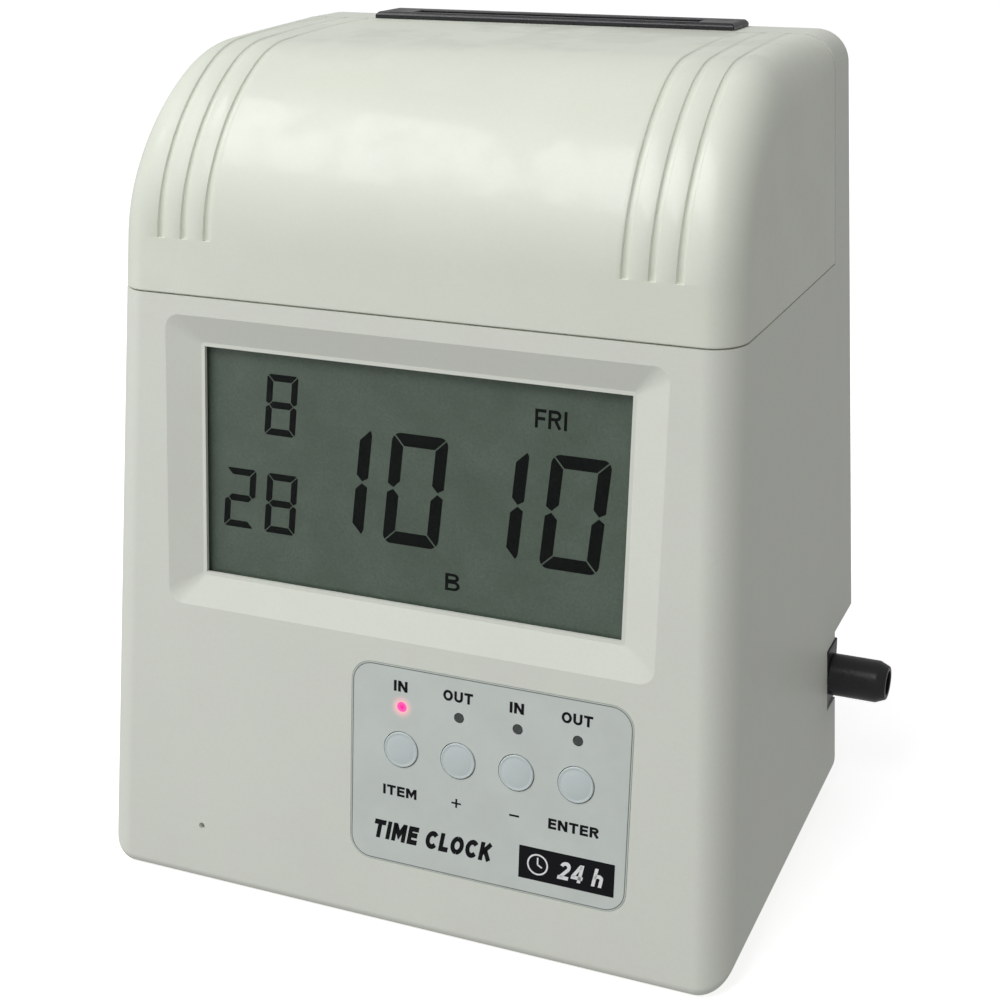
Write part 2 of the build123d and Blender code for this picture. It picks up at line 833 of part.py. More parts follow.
with BuildPart() as pinch_arm:
    bar(-pinch_half, pinch_half, pinch_pivot_y, pinch_pivot_z, pinch_arm_radius)
    for side in (-1, 1):
        edge = side * (roller_x + roller_width / 2 + 1.0)
        with BuildSketch(Plane.YZ.offset(edge - 0.8)):
            with Locations((pinch_pivot_y, (pinch_pivot_z + feed_z) / 2)):
                Rectangle(3.0, feed_z - pinch_pivot_z)
            with Locations((pinch_pivot_y, feed_z)):
                Circle(2.2)
        extrude(amount=1.6)
    bore = pinch_pivot_radius + shaft_play
    bar(-beyond, beyond, pinch_pivot_y, pinch_pivot_z, bore, mode=Mode.SUBTRACT)
    bar(-beyond, beyond, pinch_pivot_y, feed_z, pinch_axle_radius, mode=Mode.SUBTRACT)
finish(pinch_arm, "pinch_arm")

with BuildPart() as pinch_axle:
    bar(-pinch_half + 1.2, pinch_half - 1.2, pinch_pivot_y, feed_z, pinch_axle_radius)
finish(pinch_axle, "pinch_axle")

with BuildPart() as pinch_rollers:
    for side in (-1, 1):
        middle = side * roller_x
        bar(middle - roller_width / 2, middle + roller_width / 2, pinch_pivot_y, feed_z, pinch_radius)
    bar(-beyond, beyond, pinch_pivot_y, feed_z, pinch_axle_radius + shaft_play, mode=Mode.SUBTRACT)
finish(pinch_rollers, "pinch_rollers")

# ---- ribbon cassette ----------------------------------------------------------------------
half_cassette = cassette_width / 2
cassette_top = cassette_bottom + cassette_height
with BuildPart() as cassette:
    slab(
        (-half_cassette, cassette_front_y, cassette_bottom),
        (half_cassette, cassette_rear_y, cassette_top),
    )
    fillet(cassette.edges().filter_by(Axis.Z), 4.0)
    slab(
        (-half_cassette + cassette_wall, cassette_front_y + cassette_wall, cassette_bottom + cassette_wall),
        (half_cassette - cassette_wall, cassette_rear_y - cassette_wall, beyond),
        mode=Mode.SUBTRACT,
    )
    for side in (-1, 1):
        inner_x = side * (half_cassette - cassette_arm)
        outer_x = side * half_cassette
        slab(
            (min(inner_x, outer_x), cassette_rear_y - cassette_wall, ribbon_bottom - 2.0),
            (max(inner_x, outer_x), ribbon_y + ribbon_thickness, cassette_top - 4.0),
        )
        with Locations((side * spool_x, spool_y, cassette_bottom)):
            Cylinder(
                spool_post_radius,
                cassette_height - 3.0,
                align=(Align.CENTER, Align.CENTER, Align.MIN),
            )
finish(cassette, "ribbon_cassette")

with BuildPart() as cassette_lid:
    slab(
        (-half_cassette, cassette_front_y, cassette_top),
        (half_cassette, cassette_rear_y, cassette_top + cassette_wall),
    )
    fillet(cassette_lid.edges().filter_by(Axis.Z), 4.0)
    with Locations((spool_x, spool_y, cassette_top)):
        Cylinder(knob_radius + fit_gap, 6 * cassette_wall, mode=Mode.SUBTRACT)
finish(cassette_lid, "cassette_lid")

with BuildPart() as ribbon:
    slab(
        (-half_cassette + cassette_arm, ribbon_y, ribbon_bottom),
        (half_cassette - cassette_arm, ribbon_y + ribbon_thickness, ribbon_bottom + ribbon_height),
    )
finish(ribbon, "ink_ribbon")


# A spool with its wound ribbon; the take-up spool has a knob above the lid.
def spool(label, x, has_knob):
    with BuildPart() as reel:
        with Locations((x, spool_y, cassette_bottom + cassette_wall + 0.5)):
            Cylinder(spool_core_radius, 15.5, align=(Align.CENTER, Align.CENTER, Align.MIN))
        with Locations((x, spool_y, ribbon_bottom)):
            Cylinder(spool_radius, ribbon_height, align=(Align.CENTER, Align.CENTER, Align.MIN))
        with Locations((x, spool_y, cassette_bottom)):
            Cylinder(
                spool_post_radius + shaft_play,
                cassette_height - 2.5,
                align=(Align.CENTER, Align.CENTER, Align.MIN),
                mode=Mode.SUBTRACT,
            )
        if has_knob:
            with Locations((x, spool_y, cassette_top - 2.5)):
                Cylinder(
                    knob_radius,
                    2.5 + cassette_wall + knob_rise,
                    align=(Align.CENTER, Align.CENTER, Align.MIN),
                )
    finish(reel, label)


spool("supply_spool", -spool_x, False)
spool("takeup_spool", spool_x, True)

# ---- lock ---------------------------------------------------------------------------------
lock_face_x = -half_width(lock_z) - lock_rim_thickness / 2
lock_inner_x = -half_width(lock_z) + 12.0
with BuildPart() as lock_barrel:
    bar(lock_face_x, lock_inner_x, lock_y, lock_z, lock_radius - fit_gap / 2)
    bar(lock_face_x, lock_face_x - lock_rim_thickness, lock_y, lock_z, lock_rim)
    bar(-beyond, 0, lock_y, lock_z, plug_radius + shaft_play, mode=Mode.SUBTRACT)
finish(lock_barrel, "lock_barrel")

with BuildPart() as lock_plug:
    bar(lock_face_x - lock_rim_thickness, lock_inner_x, lock_y, lock_z, plug_radius)
    slab(
        (lock_face_x - lock_rim_thickness, lock_y - 0.6, lock_z - 3.5),
        (lock_face_x + 4.0, lock_y + 0.6, lock_z + 3.5),
        mode=Mode.SUBTRACT,
    )
finish(lock_plug, "lock_plug")

with BuildPart() as lock_cam:
    slab(
        (lock_inner_x, lock_y - cam_width / 2, lock_z),
        (lock_inner_x + cam_thickness, lock_y + cam_width / 2, lock_z + cam_length),
    )
    bar(lock_inner_x, lock_inner_x + cam_thickness, lock_y, lock_z, plug_radius)
finish(lock_cam, "lock_cam")

# The keeper hangs from the hood, with a ledge that the turned cam holds down.
keeper_y = lock_y - cam_length + 2.0
ledge_z = lock_z - cam_width / 2 - keeper_gap
keeper_top = keeper_z + cam_thickness
with BuildPart() as latch_keeper:
    slab(
        (lock_inner_x - 3.0, keeper_y, ledge_z - cam_thickness),
        (lock_inner_x + 3.0, keeper_y + keeper_width, ledge_z),
    )
    slab(
        (lock_inner_x - 3.0 - cam_thickness, keeper_y, ledge_z - cam_thickness),
        (lock_inner_x - 3.0, keeper_y + keeper_width, keeper_top),
    )
    slab(
        (-half_width(keeper_top, wall), keeper_y, keeper_z),
        (lock_inner_x - 3.0, keeper_y + keeper_width, keeper_top),
    )
finish(latch_keeper, "latch_keeper")

# ---- supply lead gland --------------------------------------------------------------------
gland_face_x = half_width(gland_z)
with BuildPart() as gland_block:
    slab(
        (gland_face_x - 12.0, notch_front_y + gland_block_gap, notch_bottom + gland_block_gap),
        (gland_face_x, seam_y + 1.5, notch_top - gland_block_gap),
    )
    bar(0, beyond, gland_y, gland_z, gland_bore_radius, mode=Mode.SUBTRACT)
finish(gland_block, "gland_block")

with BuildPart() as gland_sleeve:
    with BuildSketch(Plane.XY.offset(gland_z)):
        with BuildLine():
            Polyline(
                (gland_face_x, gland_y + gland_bore_radius),
                (gland_face_x + gland_length + gland_tip, gland_y + gland_bore_radius),
                (gland_face_x + gland_length + gland_tip, gland_y + gland_tip_radius),
                (gland_face_x + gland_length, gland_y + gland_radius),
                (gland_face_x, gland_y + gland_radius),
                close=True,
            )
        make_face()
    revolve(axis=Axis((0, gland_y, gland_z), (1, 0, 0)))
finish(gland_sleeve, "gland_sleeve")

# ---- case screws --------------------------------------------------------------------------
with BuildPart() as case_screws:
    screw_posts(seam_y - screw_grip, screw_seat_y, screw_radius)
    screw_posts(screw_seat_y, screw_seat_y + screw_head_height, screw_head_radius)
    for x, z in screw_places:
        for across, tall in ((screw_head_radius, screw_radius / 4), (screw_radius / 4, screw_head_radius)):
            slab(
                (x - across / 1.5, screw_seat_y + screw_head_height / 2, z - tall / 1.5),
                (x + across / 1.5, beyond, z + tall / 1.5),
                mode=Mode.SUBTRACT,
            )
finish(case_screws, "case_screws")

# ---- boards and supply --------------------------------------------------------------------
half_board = main_board_width / 2
with BuildPart() as main_board:
    slab(
        (-half_board, main_board_y, main_board_bottom),
        (half_board, main_board_y + board_thickness, main_board_bottom + main_board_height),
    )
finish(main_board, "main_board")

# chips, a connector and two capacitors on the front of the main board
with BuildPart() as board_parts:
    for x, z, wide, tall, thick in (
        (-28.0, 104.0, 36.0, 14.0, 4.0),
        (22.0, 104.0, 18.0, 18.0, 2.5),
        (-34.0, 72.0, 20.0, 8.0, 3.5),
        (-6.0, 72.0, 20.0, 8.0, 3.5),
        (30.0, 40.0, 40.0, 6.0, 9.0),
    ):
        slab(
            (x - wide / 2, main_board_y - thick, z - tall / 2),
            (x + wide / 2, main_board_y, z + tall / 2),
        )
    for x in (-40.0, -22.0):
        with Locations(Location((x, main_board_y, 40.0), (90, 0, 0))):
            Cylinder(6.5, 12.0, align=(Align.CENTER, Align.CENTER, Align.MIN))
finish(board_parts, "board_parts")

with BuildPart() as transformer:
    slab((-46.0, -6.0, wall), (-8.0, 30.0, 36.0))
    slab((-40.0, -12.0, 9.0), (-14.0, 36.0, 30.0))
finish(transformer, "transformer")

with BuildPart() as battery_pack:
    for i in range(3):
        with Locations(Location((30.0, 2.0 + 15.0 * i, wall + 7.2), (0, 90, 0))):
            Cylinder(7.2, 50.0)
finish(battery_pack, "battery_pack")

with BuildPart() as feet:
    with Locations([(x, y, 0) for x in (-foot_x, foot_x) for y in (foot_front_y, foot_rear_y)]):
        Cylinder(foot_radius, foot_depth, align=(Align.CENTER, Align.CENTER, Align.MIN))
finish(feet, "rubber_feet")

os.makedirs("parts", exist_ok=True)
for piece in pieces:
    export_step(piece, f"parts/{piece.label}.step")
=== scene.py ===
import json
import math

import bmesh
import bpy
import numpy as np
from mathutils import Matrix, Vector


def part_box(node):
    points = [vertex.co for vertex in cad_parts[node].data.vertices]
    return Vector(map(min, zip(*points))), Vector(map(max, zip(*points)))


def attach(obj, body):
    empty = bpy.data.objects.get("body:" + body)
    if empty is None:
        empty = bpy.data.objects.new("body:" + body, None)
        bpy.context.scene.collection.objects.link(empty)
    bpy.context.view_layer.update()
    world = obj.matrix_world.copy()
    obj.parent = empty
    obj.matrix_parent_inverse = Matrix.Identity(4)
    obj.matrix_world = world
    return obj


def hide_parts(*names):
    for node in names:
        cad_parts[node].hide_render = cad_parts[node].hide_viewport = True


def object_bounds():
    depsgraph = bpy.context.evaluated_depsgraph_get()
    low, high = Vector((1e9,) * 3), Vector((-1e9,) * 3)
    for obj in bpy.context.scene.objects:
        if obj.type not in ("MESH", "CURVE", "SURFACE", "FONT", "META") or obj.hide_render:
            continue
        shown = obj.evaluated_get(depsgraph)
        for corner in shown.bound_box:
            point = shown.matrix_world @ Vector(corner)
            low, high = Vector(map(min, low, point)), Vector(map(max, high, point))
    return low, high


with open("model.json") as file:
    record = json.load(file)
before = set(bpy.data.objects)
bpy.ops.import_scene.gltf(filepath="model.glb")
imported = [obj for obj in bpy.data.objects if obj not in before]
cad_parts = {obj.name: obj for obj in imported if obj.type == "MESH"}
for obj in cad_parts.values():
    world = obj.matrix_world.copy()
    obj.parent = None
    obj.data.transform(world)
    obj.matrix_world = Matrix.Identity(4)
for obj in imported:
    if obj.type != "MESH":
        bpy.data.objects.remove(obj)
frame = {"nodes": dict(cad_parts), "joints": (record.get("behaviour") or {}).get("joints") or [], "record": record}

cadLow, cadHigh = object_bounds()
nodes = frame["nodes"]
record = frame["record"]
bodyOf = {n: body for body, members in record["behaviour"]["bodies"].items() for n in members}
slotOf = {part["node"]: part["material_slot"] for part in record["subparts"]}
mm = 0.001
print("frame loaded:", len(nodes), "nodes")

# Inwards is the way the keys travel. A point on the front is given by how far it lies to
# the right, how far up the slope, and how far it stands out of the face, in millimetres.
inward = np.array(next(j["axis"] for j in frame["joints"] if j["name"] == "item_press"))
upFront = np.array((0.0, -inward[2], inward[1]))


def corners(name):
    flat = np.empty(len(nodes[name].data.vertices) * 3, np.float32)
    nodes[name].data.vertices.foreach_get("co", flat)
    return flat.reshape(-1, 3).astype(float)


def depthOf(name):
    return (corners(name) @ inward).min()


faceDepth = depthOf("key_panel")
faceFoot = np.array((0.0, faceDepth / inward[1], 0.0))
glassOut = (faceDepth - depthOf("lcd_panel")) / mm


def onFace(right, up, out):
    right, up, out = np.broadcast_arrays(right, up, out)
    place = right[..., None] * np.array((1.0, 0, 0)) + up[..., None] * upFront
    return faceFoot + mm * (place - out[..., None] * inward)


# One value of a material; sums and products of fields add Math nodes.
class Field:
    def __init__(self, finish, socket):
        self.finish, self.socket = finish, socket

    def math(self, operation, *values):
        return self.finish.add("ShaderNodeMath", {"operation": operation}, dict(enumerate(values)))

    def __add__(self, other):
        return self.math("ADD", self, other)

    def __mul__(self, other):
        return self.math("MULTIPLY", self, other)

    def __pow__(self, other):
        return self.math("POWER", self, other)

    __radd__ = __add__
    __rmul__ = __mul__


# A material and its nodes.
class Finish:
    def __init__(self, name):
        self.material = bpy.data.materials.new(name)
        self.material.use_nodes = True
        self.tree = self.material.node_tree
        self.shader = self.tree.nodes["Principled BSDF"]
        self.place = self.add("ShaderNodeTexCoord", {}, {}, "Object")

    def put(self, socket, value):
        if isinstance(value, Field):
            self.tree.links.new(value.socket, socket)
        else:
            socket.default_value = value

    def add(self, kind, settings, sockets, output=0):
        node = self.tree.nodes.new(kind)
        for key, value in settings.items():
            setattr(node, key, value)
        for key, value in sockets.items():
            self.put(node.inputs[key], value)
        return Field(self, node.outputs[output])

    def set(self, **sockets):
        for key, value in sockets.items():
            self.put(self.shader.inputs[key.replace("_", " ")], value)

    def stretch(self, scale):
        return self.add("ShaderNodeMapping", {}, {"Vector": self.place, "Scale": scale})

    def distance(self, centre):
        return self.add("ShaderNodeVectorMath", {"operation": "DISTANCE"}, {0: self.place, 1: centre}, "Value")

    def bands(self, direction, scale, distortion, **more):
        settings = {"wave_type": "BANDS", "bands_direction": direction}
        sockets = {"Vector": self.place, "Scale": scale, "Distortion": distortion}
        return self.add("ShaderNodeTexWave", settings, sockets | more, "Fac")

    def cells(self, scale, **more):
        return self.add("ShaderNodeTexVoronoi", {}, {"Vector": self.place, "Scale": scale} | more, "Distance")

    # Cloudy value about 0.5, features of that size in millimetres.
    def noise(self, size, detail=2.0, along=None):
        spot = self.place if along is None else self.stretch(along)
        sockets = {"Vector": spot, "Scale": 1 / (size * mm), "Detail": detail, "Roughness": 0.6}
        return self.add("ShaderNodeTexNoise", {}, sockets)

    def blend(self, factor, first, second):
        sockets = {0: factor, 6: first, 7: second}
        return self.add("ShaderNodeMix", {"data_type": "RGBA"}, sockets, 2)

    def limits(self, value, low, high, newLow=0.0, newHigh=1.0):
        sockets = {0: value, 1: low, 2: high, 3: newLow, 4: newHigh}
        return self.add("ShaderNodeMapRange", {}, sockets)

    # Height from 0 to 1 raises the surface by that many millimetres.
    def bump(self, height, deep, strength=1.0):
        sockets = {"Height": height, "Distance": deep * mm, "Strength": strength}
        self.set(Normal=self.add("ShaderNodeBump", {}, sockets))


# A display colour, 0 to 255, as the linear colour a shader takes.
def paint(red, green, blue):
    part = np.array((red, green, blue)) / 255
    line = np.where(part <= 0.04045, part / 12.92, ((part + 0.055) / 1.055) ** 2.4)
    return (*line.tolist(), 1.0)


def shade(colour, factor):
    return (*(min(1.0, c * factor) for c in colour[:3]), 1.0)


# The two ivory mouldings; the sizes of their clouds, specks, grain and waves are in millimetres.
ivory = {
    "case": {"colour": paint(231, 234, 224), "roughness": 0.46, "grain": 0.01, "waves": 0.04, "gloss": 0.0},
    "hood": {"colour": paint(233, 237, 224), "roughness": 0.43, "grain": 0.0015, "waves": 0.25, "gloss": 0.34},
    "cloud": 38.0,
    "greening": 16.0,
    "speck": 0.9,
    "wave": 30.0,
    "texture": 0.55,
}


# Satin plastic: cloudy tint, spark-eroded grain and the slow waves of a thin moulding.
def mouldedPlastic(name, colour, roughness, grain, waves, gloss):
    made = Finish(name)
    cloud = made.noise(ivory["cloud"], 3.0)
    speck = made.noise(ivory["speck"], 2.0)
    tint = made.blend(cloud, shade(colour, 0.955), shade(colour, 1.03))
    warm = made.noise(ivory["greening"], 2.0)
    green = tuple(c * k for c, k in zip(colour, (0.985, 1.01, 0.985, 1.0)))
    mixed = made.blend(made.limits(warm, 0.42, 0.66, 0.0, 0.5), tint, green)
    fine = made.blend(made.limits(speck, 0.3, 0.7, 0.0, 0.16), mixed, shade(colour, 0.86))
    wave = made.noise(ivory["wave"], 1.0)
    texture = made.noise(ivory["texture"], 2.0)
    worn = made.limits(cloud + speck, 0.7, 1.3, roughness - 0.05, roughness + 0.05)
    made.set(Base_Color=fine, Roughness=worn)
    if gloss:
        made.set(Coat_Weight=made.limits(wave + warm, 0.9, 1.1, 0.0, gloss), Coat_Roughness=0.12)
    made.bump(texture * grain + wave * waves, 1.0)
    return made.material


def blackPlastic(name):
    made = Finish(name)
    cloud = made.noise(9.0, 3.0)
    speck = made.noise(0.5, 2.0)
    made.set(Base_Color=made.blend(cloud, paint(24, 25, 28), paint(42, 43, 46)))
    made.set(Roughness=made.limits(cloud, 0.35, 0.65, 0.22, 0.36))
    made.bump(speck, 0.02)
    return made.material


# Grey-green glass, mottled, with a fine dark grain.
def lcdGlass(name):
    made = Finish(name)
    cloud = made.noise(11.0, 4.0)
    grain = made.noise(0.7, 3.0)
    ground = made.blend(made.limits(cloud, 0.35, 0.65), paint(105, 120, 107), paint(115, 130, 118))
    fine = made.blend(made.limits(grain, 0.3, 0.7, 0.0, 0.45), ground, paint(84, 99, 86))
    made.set(Specular_IOR_Level=0.3, Base_Color=fine, Roughness=made.limits(cloud, 0.3, 0.7, 0.32, 0.42))
    made.bump(grain, 0.006)
    return made.material


# Segments and printed signs: one ink, a little thinner in places.
def displayInk(name, colour, tired):
    made = Finish(name)
    patch = made.noise(1.1, 3.0)
    made.set(Base_Color=made.blend(made.limits(patch, 0.4, 0.75, 0.0, tired), colour, shade(colour, 1.8)))
    made.set(Roughness=made.limits(patch, 0.3, 0.7, 0.45, 0.6), Specular_IOR_Level=0.12)
    made.bump(patch, 0.004)
    return made.material


# Acrylic window: clear, with a faint gloss and a trace of dust and wiping marks.
def clearLens(name):
    made = Finish(name)
    wipe = made.noise(5.0, 4.0, along=(0.35, 1.0, 1.0))
    gloss = made.add("ShaderNodeLayerWeight", {}, {"Blend": 0.3}, "Fresnel")
    made.set(Base_Color=made.blend(wipe, (0.02, 0.022, 0.021, 1), (0.06, 0.062, 0.06, 1)))
    made.set(Roughness=made.limits(wipe, 0.3, 0.7, 0.08, 0.2))
    clear = made.add("ShaderNodeBsdfTransparent", {}, {})
    factor = gloss * 0.3 + made.limits(wipe, 0.45, 0.8, 0.01, 0.03)
    mix = made.add("ShaderNodeMixShader", {}, {0: factor, 1: clear, 2: Field(made, made.shader.outputs[0])})
    made.put(made.tree.nodes["Material Output"].inputs["Surface"], mix)
    return made.material


# Painted glow: the red emission in the pale film round the lit lamp stands in for the lamp's light, since the film
# itself is no lamp.
glow = {  # of the lit lamp in the film round it, in millimetres
    "reach": 3.4,
    "full": 1.02,  # out to here it is at its brightest
    "fall": 1.4,
    "strength": 0.62,
    "colour": (1.0, 0.12, 0.2, 1),
}


# Pale printed film with a fine matt grain, faintly blotched. The lamp's light spreading through the film is
# painted in as a red emission round the lit lamp: the share of the reach still left, raised to a power.
def panelFilm(name, colour, dapple, lampAt=None):
    made = Finish(name)
    cloud = made.noise(14.0, 3.0)
    grain = made.noise(0.35, 2.0)
    blotch = made.limits(cloud, 0.35, 0.65)
    made.set(Base_Color=made.blend(blotch, shade(colour, 1 - dapple), shade(colour, 1 + dapple)))
    made.set(Roughness=made.limits(grain, 0.3, 0.7, 0.4, 0.52))
    # Painted glow: red emission in the film, brightest next to the lit lamp and fading out over the reach.
    if lampAt:
        near = made.limits(made.distance(lampAt), glow["reach"] * mm, glow["full"] * mm) ** glow["fall"]
        made.set(Emission_Color=made.blend(near, (0, 0, 0, 1), glow["colour"]))
        made.set(Emission_Strength=glow["strength"])
    made.bump(grain, 0.012)
    return made.material


# A red lamp: pink-white at the rim, deep magenta in the middle.
def litLamp(name, centre):
    made = Finish(name)
    grain = made.noise(0.5, 2.0)
    core = made.limits(made.distance(centre) + grain * 0.0004, 0.0004, 0.0016)
    colour = made.blend(core, paint(226, 30, 128), paint(255, 92, 170))
    made.set(Base_Color=colour, Emission_Color=colour, Emission_Strength=0.75)
    made.set(Roughness=made.limits(grain, 0.3, 0.7, 0.2, 0.35))
    made.bump(grain, 0.01)
    return made.material


# Cloudy colour between two tones, with roughness and bump of the same scale.
def speckledSolid(name, dark, light, size, roughness, grain, metallic=0.0):
    made = Finish(name)
    cloud = made.noise(size, 4.0)
    fine = made.noise(size / 9, 2.0)
    made.set(Base_Color=made.blend(made.limits(cloud + fine, 0.7, 1.3), dark, light), Metallic=metallic)
    made.set(Roughness=made.limits(fine, 0.3, 0.7, roughness - 0.06, roughness + 0.06))
    made.bump(fine, grain)
    return made.material


# Zinc plated sheet: pale spangles with a rolled grain.
def zincSheet(name):
    made = Finish(name)
    grain = made.noise(1.2, 3.0, along=(1.0, 1.0, 0.08))
    tone = made.limits(made.cells(260.0) + grain, 0.4, 1.2)
    made.set(Base_Color=made.blend(tone, paint(186, 189, 190), paint(214, 216, 214)), Metallic=0.7)
    made.set(Roughness=made.limits(grain, 0.3, 0.7, 0.3, 0.44))
    made.bump(grain, 0.015)
    return made.material


# Ground or turned bar: fine rings round the X axis, a trace of oil.
def turnedMetal(name, dark, light, roughness):
    made = Finish(name)
    rings = made.noise(0.6, 3.0, along=(1.0, 0.04, 0.04))
    oil = made.noise(6.0, 2.0)
    made.set(Base_Color=made.blend(made.limits(rings, 0.3, 0.7), dark, light), Metallic=1.0)
    made.set(Roughness=made.limits(rings + oil, 0.7, 1.3, roughness - 0.05, roughness + 0.08))
    made.bump(rings, 0.008)
    return made.material


# Lacquered board: copper tracks under green, pads in rows.
def circuitBoard(name):
    made = Finish(name)
    tracks = made.bands("DIAGONAL", 120.0, 9.0, **{"Detail": 2.0, "Detail Scale": 1.2})
    line = made.limits(tracks, 0.55, 0.6)
    pad = made.limits(made.cells(300.0, Randomness=0.15), 0.3, 0.26)
    green = made.blend(line, paint(12, 74, 40), paint(24, 108, 58))
    made.set(Base_Color=made.blend(pad, green, paint(178, 176, 160)))
    made.set(Roughness=made.limits(pad + line * 0.2, 0, 1, 0.28, 0.42))
    made.set(Metallic=made.limits(pad, 0, 1, 0.0, 0.7))
    made.bump(line + pad, 0.03)
    return made.material


# Woven nylon ribbon, nearly black, with a violet sheen.
def inkedCloth(name):
    made = Finish(name)
    weave = made.bands("X", 900.0, 0.6) * made.bands("Z", 900.0, 0.6)
    made.set(Base_Color=made.blend(weave, paint(14, 12, 22), paint(44, 38, 66)))
    made.set(Roughness=made.limits(weave, 0, 1, 0.62, 0.8), Sheen_Weight=0.3)
    made.bump(weave, 0.04)
    return made.material


# Varnished transformer stack: thin plates edge on.
def laminations(name):
    made = Finish(name)
    plates = made.bands("Y", 320.0, 0.4)
    stain = made.noise(7.0, 3.0)
    tone = made.blend(plates, paint(54, 50, 48), paint(104, 96, 88))
    made.set(Base_Color=made.blend(stain * 0.5, tone, paint(122, 84, 52)), Metallic=0.4)
    made.set(Roughness=made.limits(stain, 0.3, 0.7, 0.3, 0.5))
    made.bump(plates, 0.08)
    return made.material


# Battery wrap: blue film with fine wrinkles round the cells.
def shrinkFilm(name):
    made = Finish(name)
    wrinkle = made.noise(1.6, 3.0, along=(1.0, 0.3, 0.3))
    made.set(Base_Color=made.blend(wrinkle, paint(38, 92, 150), paint(60, 120, 180)))
    made.set(Roughness=made.limits(wrinkle, 0.3, 0.7, 0.2, 0.34))
    made.bump(wrinkle, 0.05)
    return made.material


lamp = corners("lit_lamp").mean(0)
lampCentre = tuple((lamp + (faceDepth - lamp @ inward) * inward).tolist())
finishes = {
    "ivory_case": mouldedPlastic("satinIvory", **ivory["case"]),
    "ivory_hood": mouldedPlastic("glossIvory", **ivory["hood"]),
    "black_plastic": blackPlastic("blackPlastic"),
    "clear_window": clearLens("clearLens"),
    "lcd_glass": lcdGlass("displayGlass"),
    "board_green": circuitBoard("circuitBoard"),
    "panel_film": panelFilm("printedFilm", paint(212, 219, 214), 0.03, lampCentre),
    "key_film": panelFilm("keyFilm", paint(207, 217, 217), 0.02),
    "lit_red": litLamp("litLamp", lampCentre),
    "dark_lamp": speckledSolid("darkLamp", paint(58, 63, 61), paint(84, 90, 87), 0.6, 0.25, 0.01),
    "steel_sheet": zincSheet("zincSheet"),
    "bright_steel": turnedMetal("groundSteel", paint(186, 188, 190), paint(222, 224, 226), 0.2),
    "head_metal": speckledSolid("castAlloy", paint(120, 122, 124), paint(158, 160, 162), 3.0, 0.48, 0.05, 0.9),
    "roller_rubber": speckledSolid("groundRubber", paint(22, 22, 22), paint(40, 40, 39), 1.2, 0.78, 0.05),
    "gear_nylon": speckledSolid("whiteNylon", paint(214, 211, 198), paint(232, 229, 217), 4.0, 0.42, 0.02),
    "brass_part": turnedMetal("turnedBrass", paint(196, 160, 88), paint(226, 194, 122), 0.24),
    "ribbon_cloth": inkedCloth("inkedCloth"),
    "copper_winding": laminations("laminations"),
    "battery_wrap": shrinkFilm("shrinkFilm"),
}
blackInk = displayInk("blackInk", paint(20, 21, 25), 0.25)
segmentInk = displayInk("segmentInk", paint(17, 20, 20), 0.2)
whiteInk = displayInk("whiteInk", paint(238, 240, 240), 0.1)


def wear(piece, material):
    piece.data.materials.clear()
    piece.data.materials.append(material)


for name, node in nodes.items():
    wear(node, finishes[slotOf[name]])
print("materials made")


def newPiece(name, points, faces, material, body):
    mesh = bpy.data.meshes.new(name)
    mesh.from_pydata(points.tolist(), [], faces)
    mesh.validate()
    return addPiece(name, mesh, material, body)


def addPiece(name, mesh, material, body):
    piece = bpy.data.objects.new(name, mesh)
    bpy.context.scene.collection.objects.link(piece)
    wear(piece, material)
    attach(piece, body)
    return piece


# Width in millimetres of the small round on each sharp edge of a piece.
softEdges = {
    "front_case": 0.45,
    "rear_housing": 0.35,
    "slot_bezel": 0.3,
    "gland_block": 0.25,
    "gland_sleeve": 0.25,
    "lock_barrel": 0.2,
    "lock_plug": 0.1,
    "ribbon_cassette": 0.25,
    "cassette_lid": 0.25,
    "print_carriage": 0.4,
    "print_head": 0.15,
    "feed_motor": 0.5,
    "carriage_motor": 0.5,
    "feed_rollers": 0.25,
    "pinch_rollers": 0.15,
    "supply_spool": 0.25,
    "takeup_spool": 0.25,
    "guide_rods": 0.25,
    "lead_screw": 0.25,
    "feed_shaft": 0.25,
    "battery_pack": 0.6,
    "case_screws": 0.15,
    "rubber_feet": 0.2,
    "motor_pinion": 0.05,
    "feed_gear": 0.05,
    "pinch_axle": 0.1,
    "pinch_pivot": 0.1,
    "board_parts": 0.2,
}
sharpAngle = {"front_case": 14, "rear_housing": 14}  # degrees between faces that make an edge sharp
soften = {
    "merge": 2e-6,  # corners nearer than this, in metres, become one
    "flat": math.radians(0.5),
    "sharp": 30,  # degrees, for the pieces without an angle of their own
    "segments": 2,
    "flatWeight": 90,
}


# A copy of a node's mesh with its corners merged, its flats joined and its edges rounded; the normals
# on the rounds lean to the larger faces, so the flats stay flat.
def softCopy(name, width):
    mesh = nodes[name].data.copy()
    work = bmesh.new()
    work.from_mesh(mesh)
    bmesh.ops.remove_doubles(work, verts=work.verts, dist=soften["merge"])
    bmesh.ops.dissolve_limit(work, angle_limit=soften["flat"], verts=work.verts, edges=work.edges)
    work.to_mesh(mesh)
    work.free()
    mesh.shade_smooth()
    piece = addPiece(name + "_skin", mesh, finishes[slotOf[name]], bodyOf[name])
    edge = piece.modifiers.new("edge", "BEVEL")
    edge.width = width * mm
    edge.segments = soften["segments"]
    edge.limit_method = "ANGLE"
    edge.angle_limit = math.radians(sharpAngle.get(name, soften["sharp"]))
    flats = piece.modifiers.new("flats", "WEIGHTED_NORMAL")
    flats.keep_sharp = True
    flats.weight = soften["flatWeight"]
    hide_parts(name)


for name, width in softEdges.items():
    softCopy(name, width)
print("moulded edges rounded:", len(softEdges), "pieces")

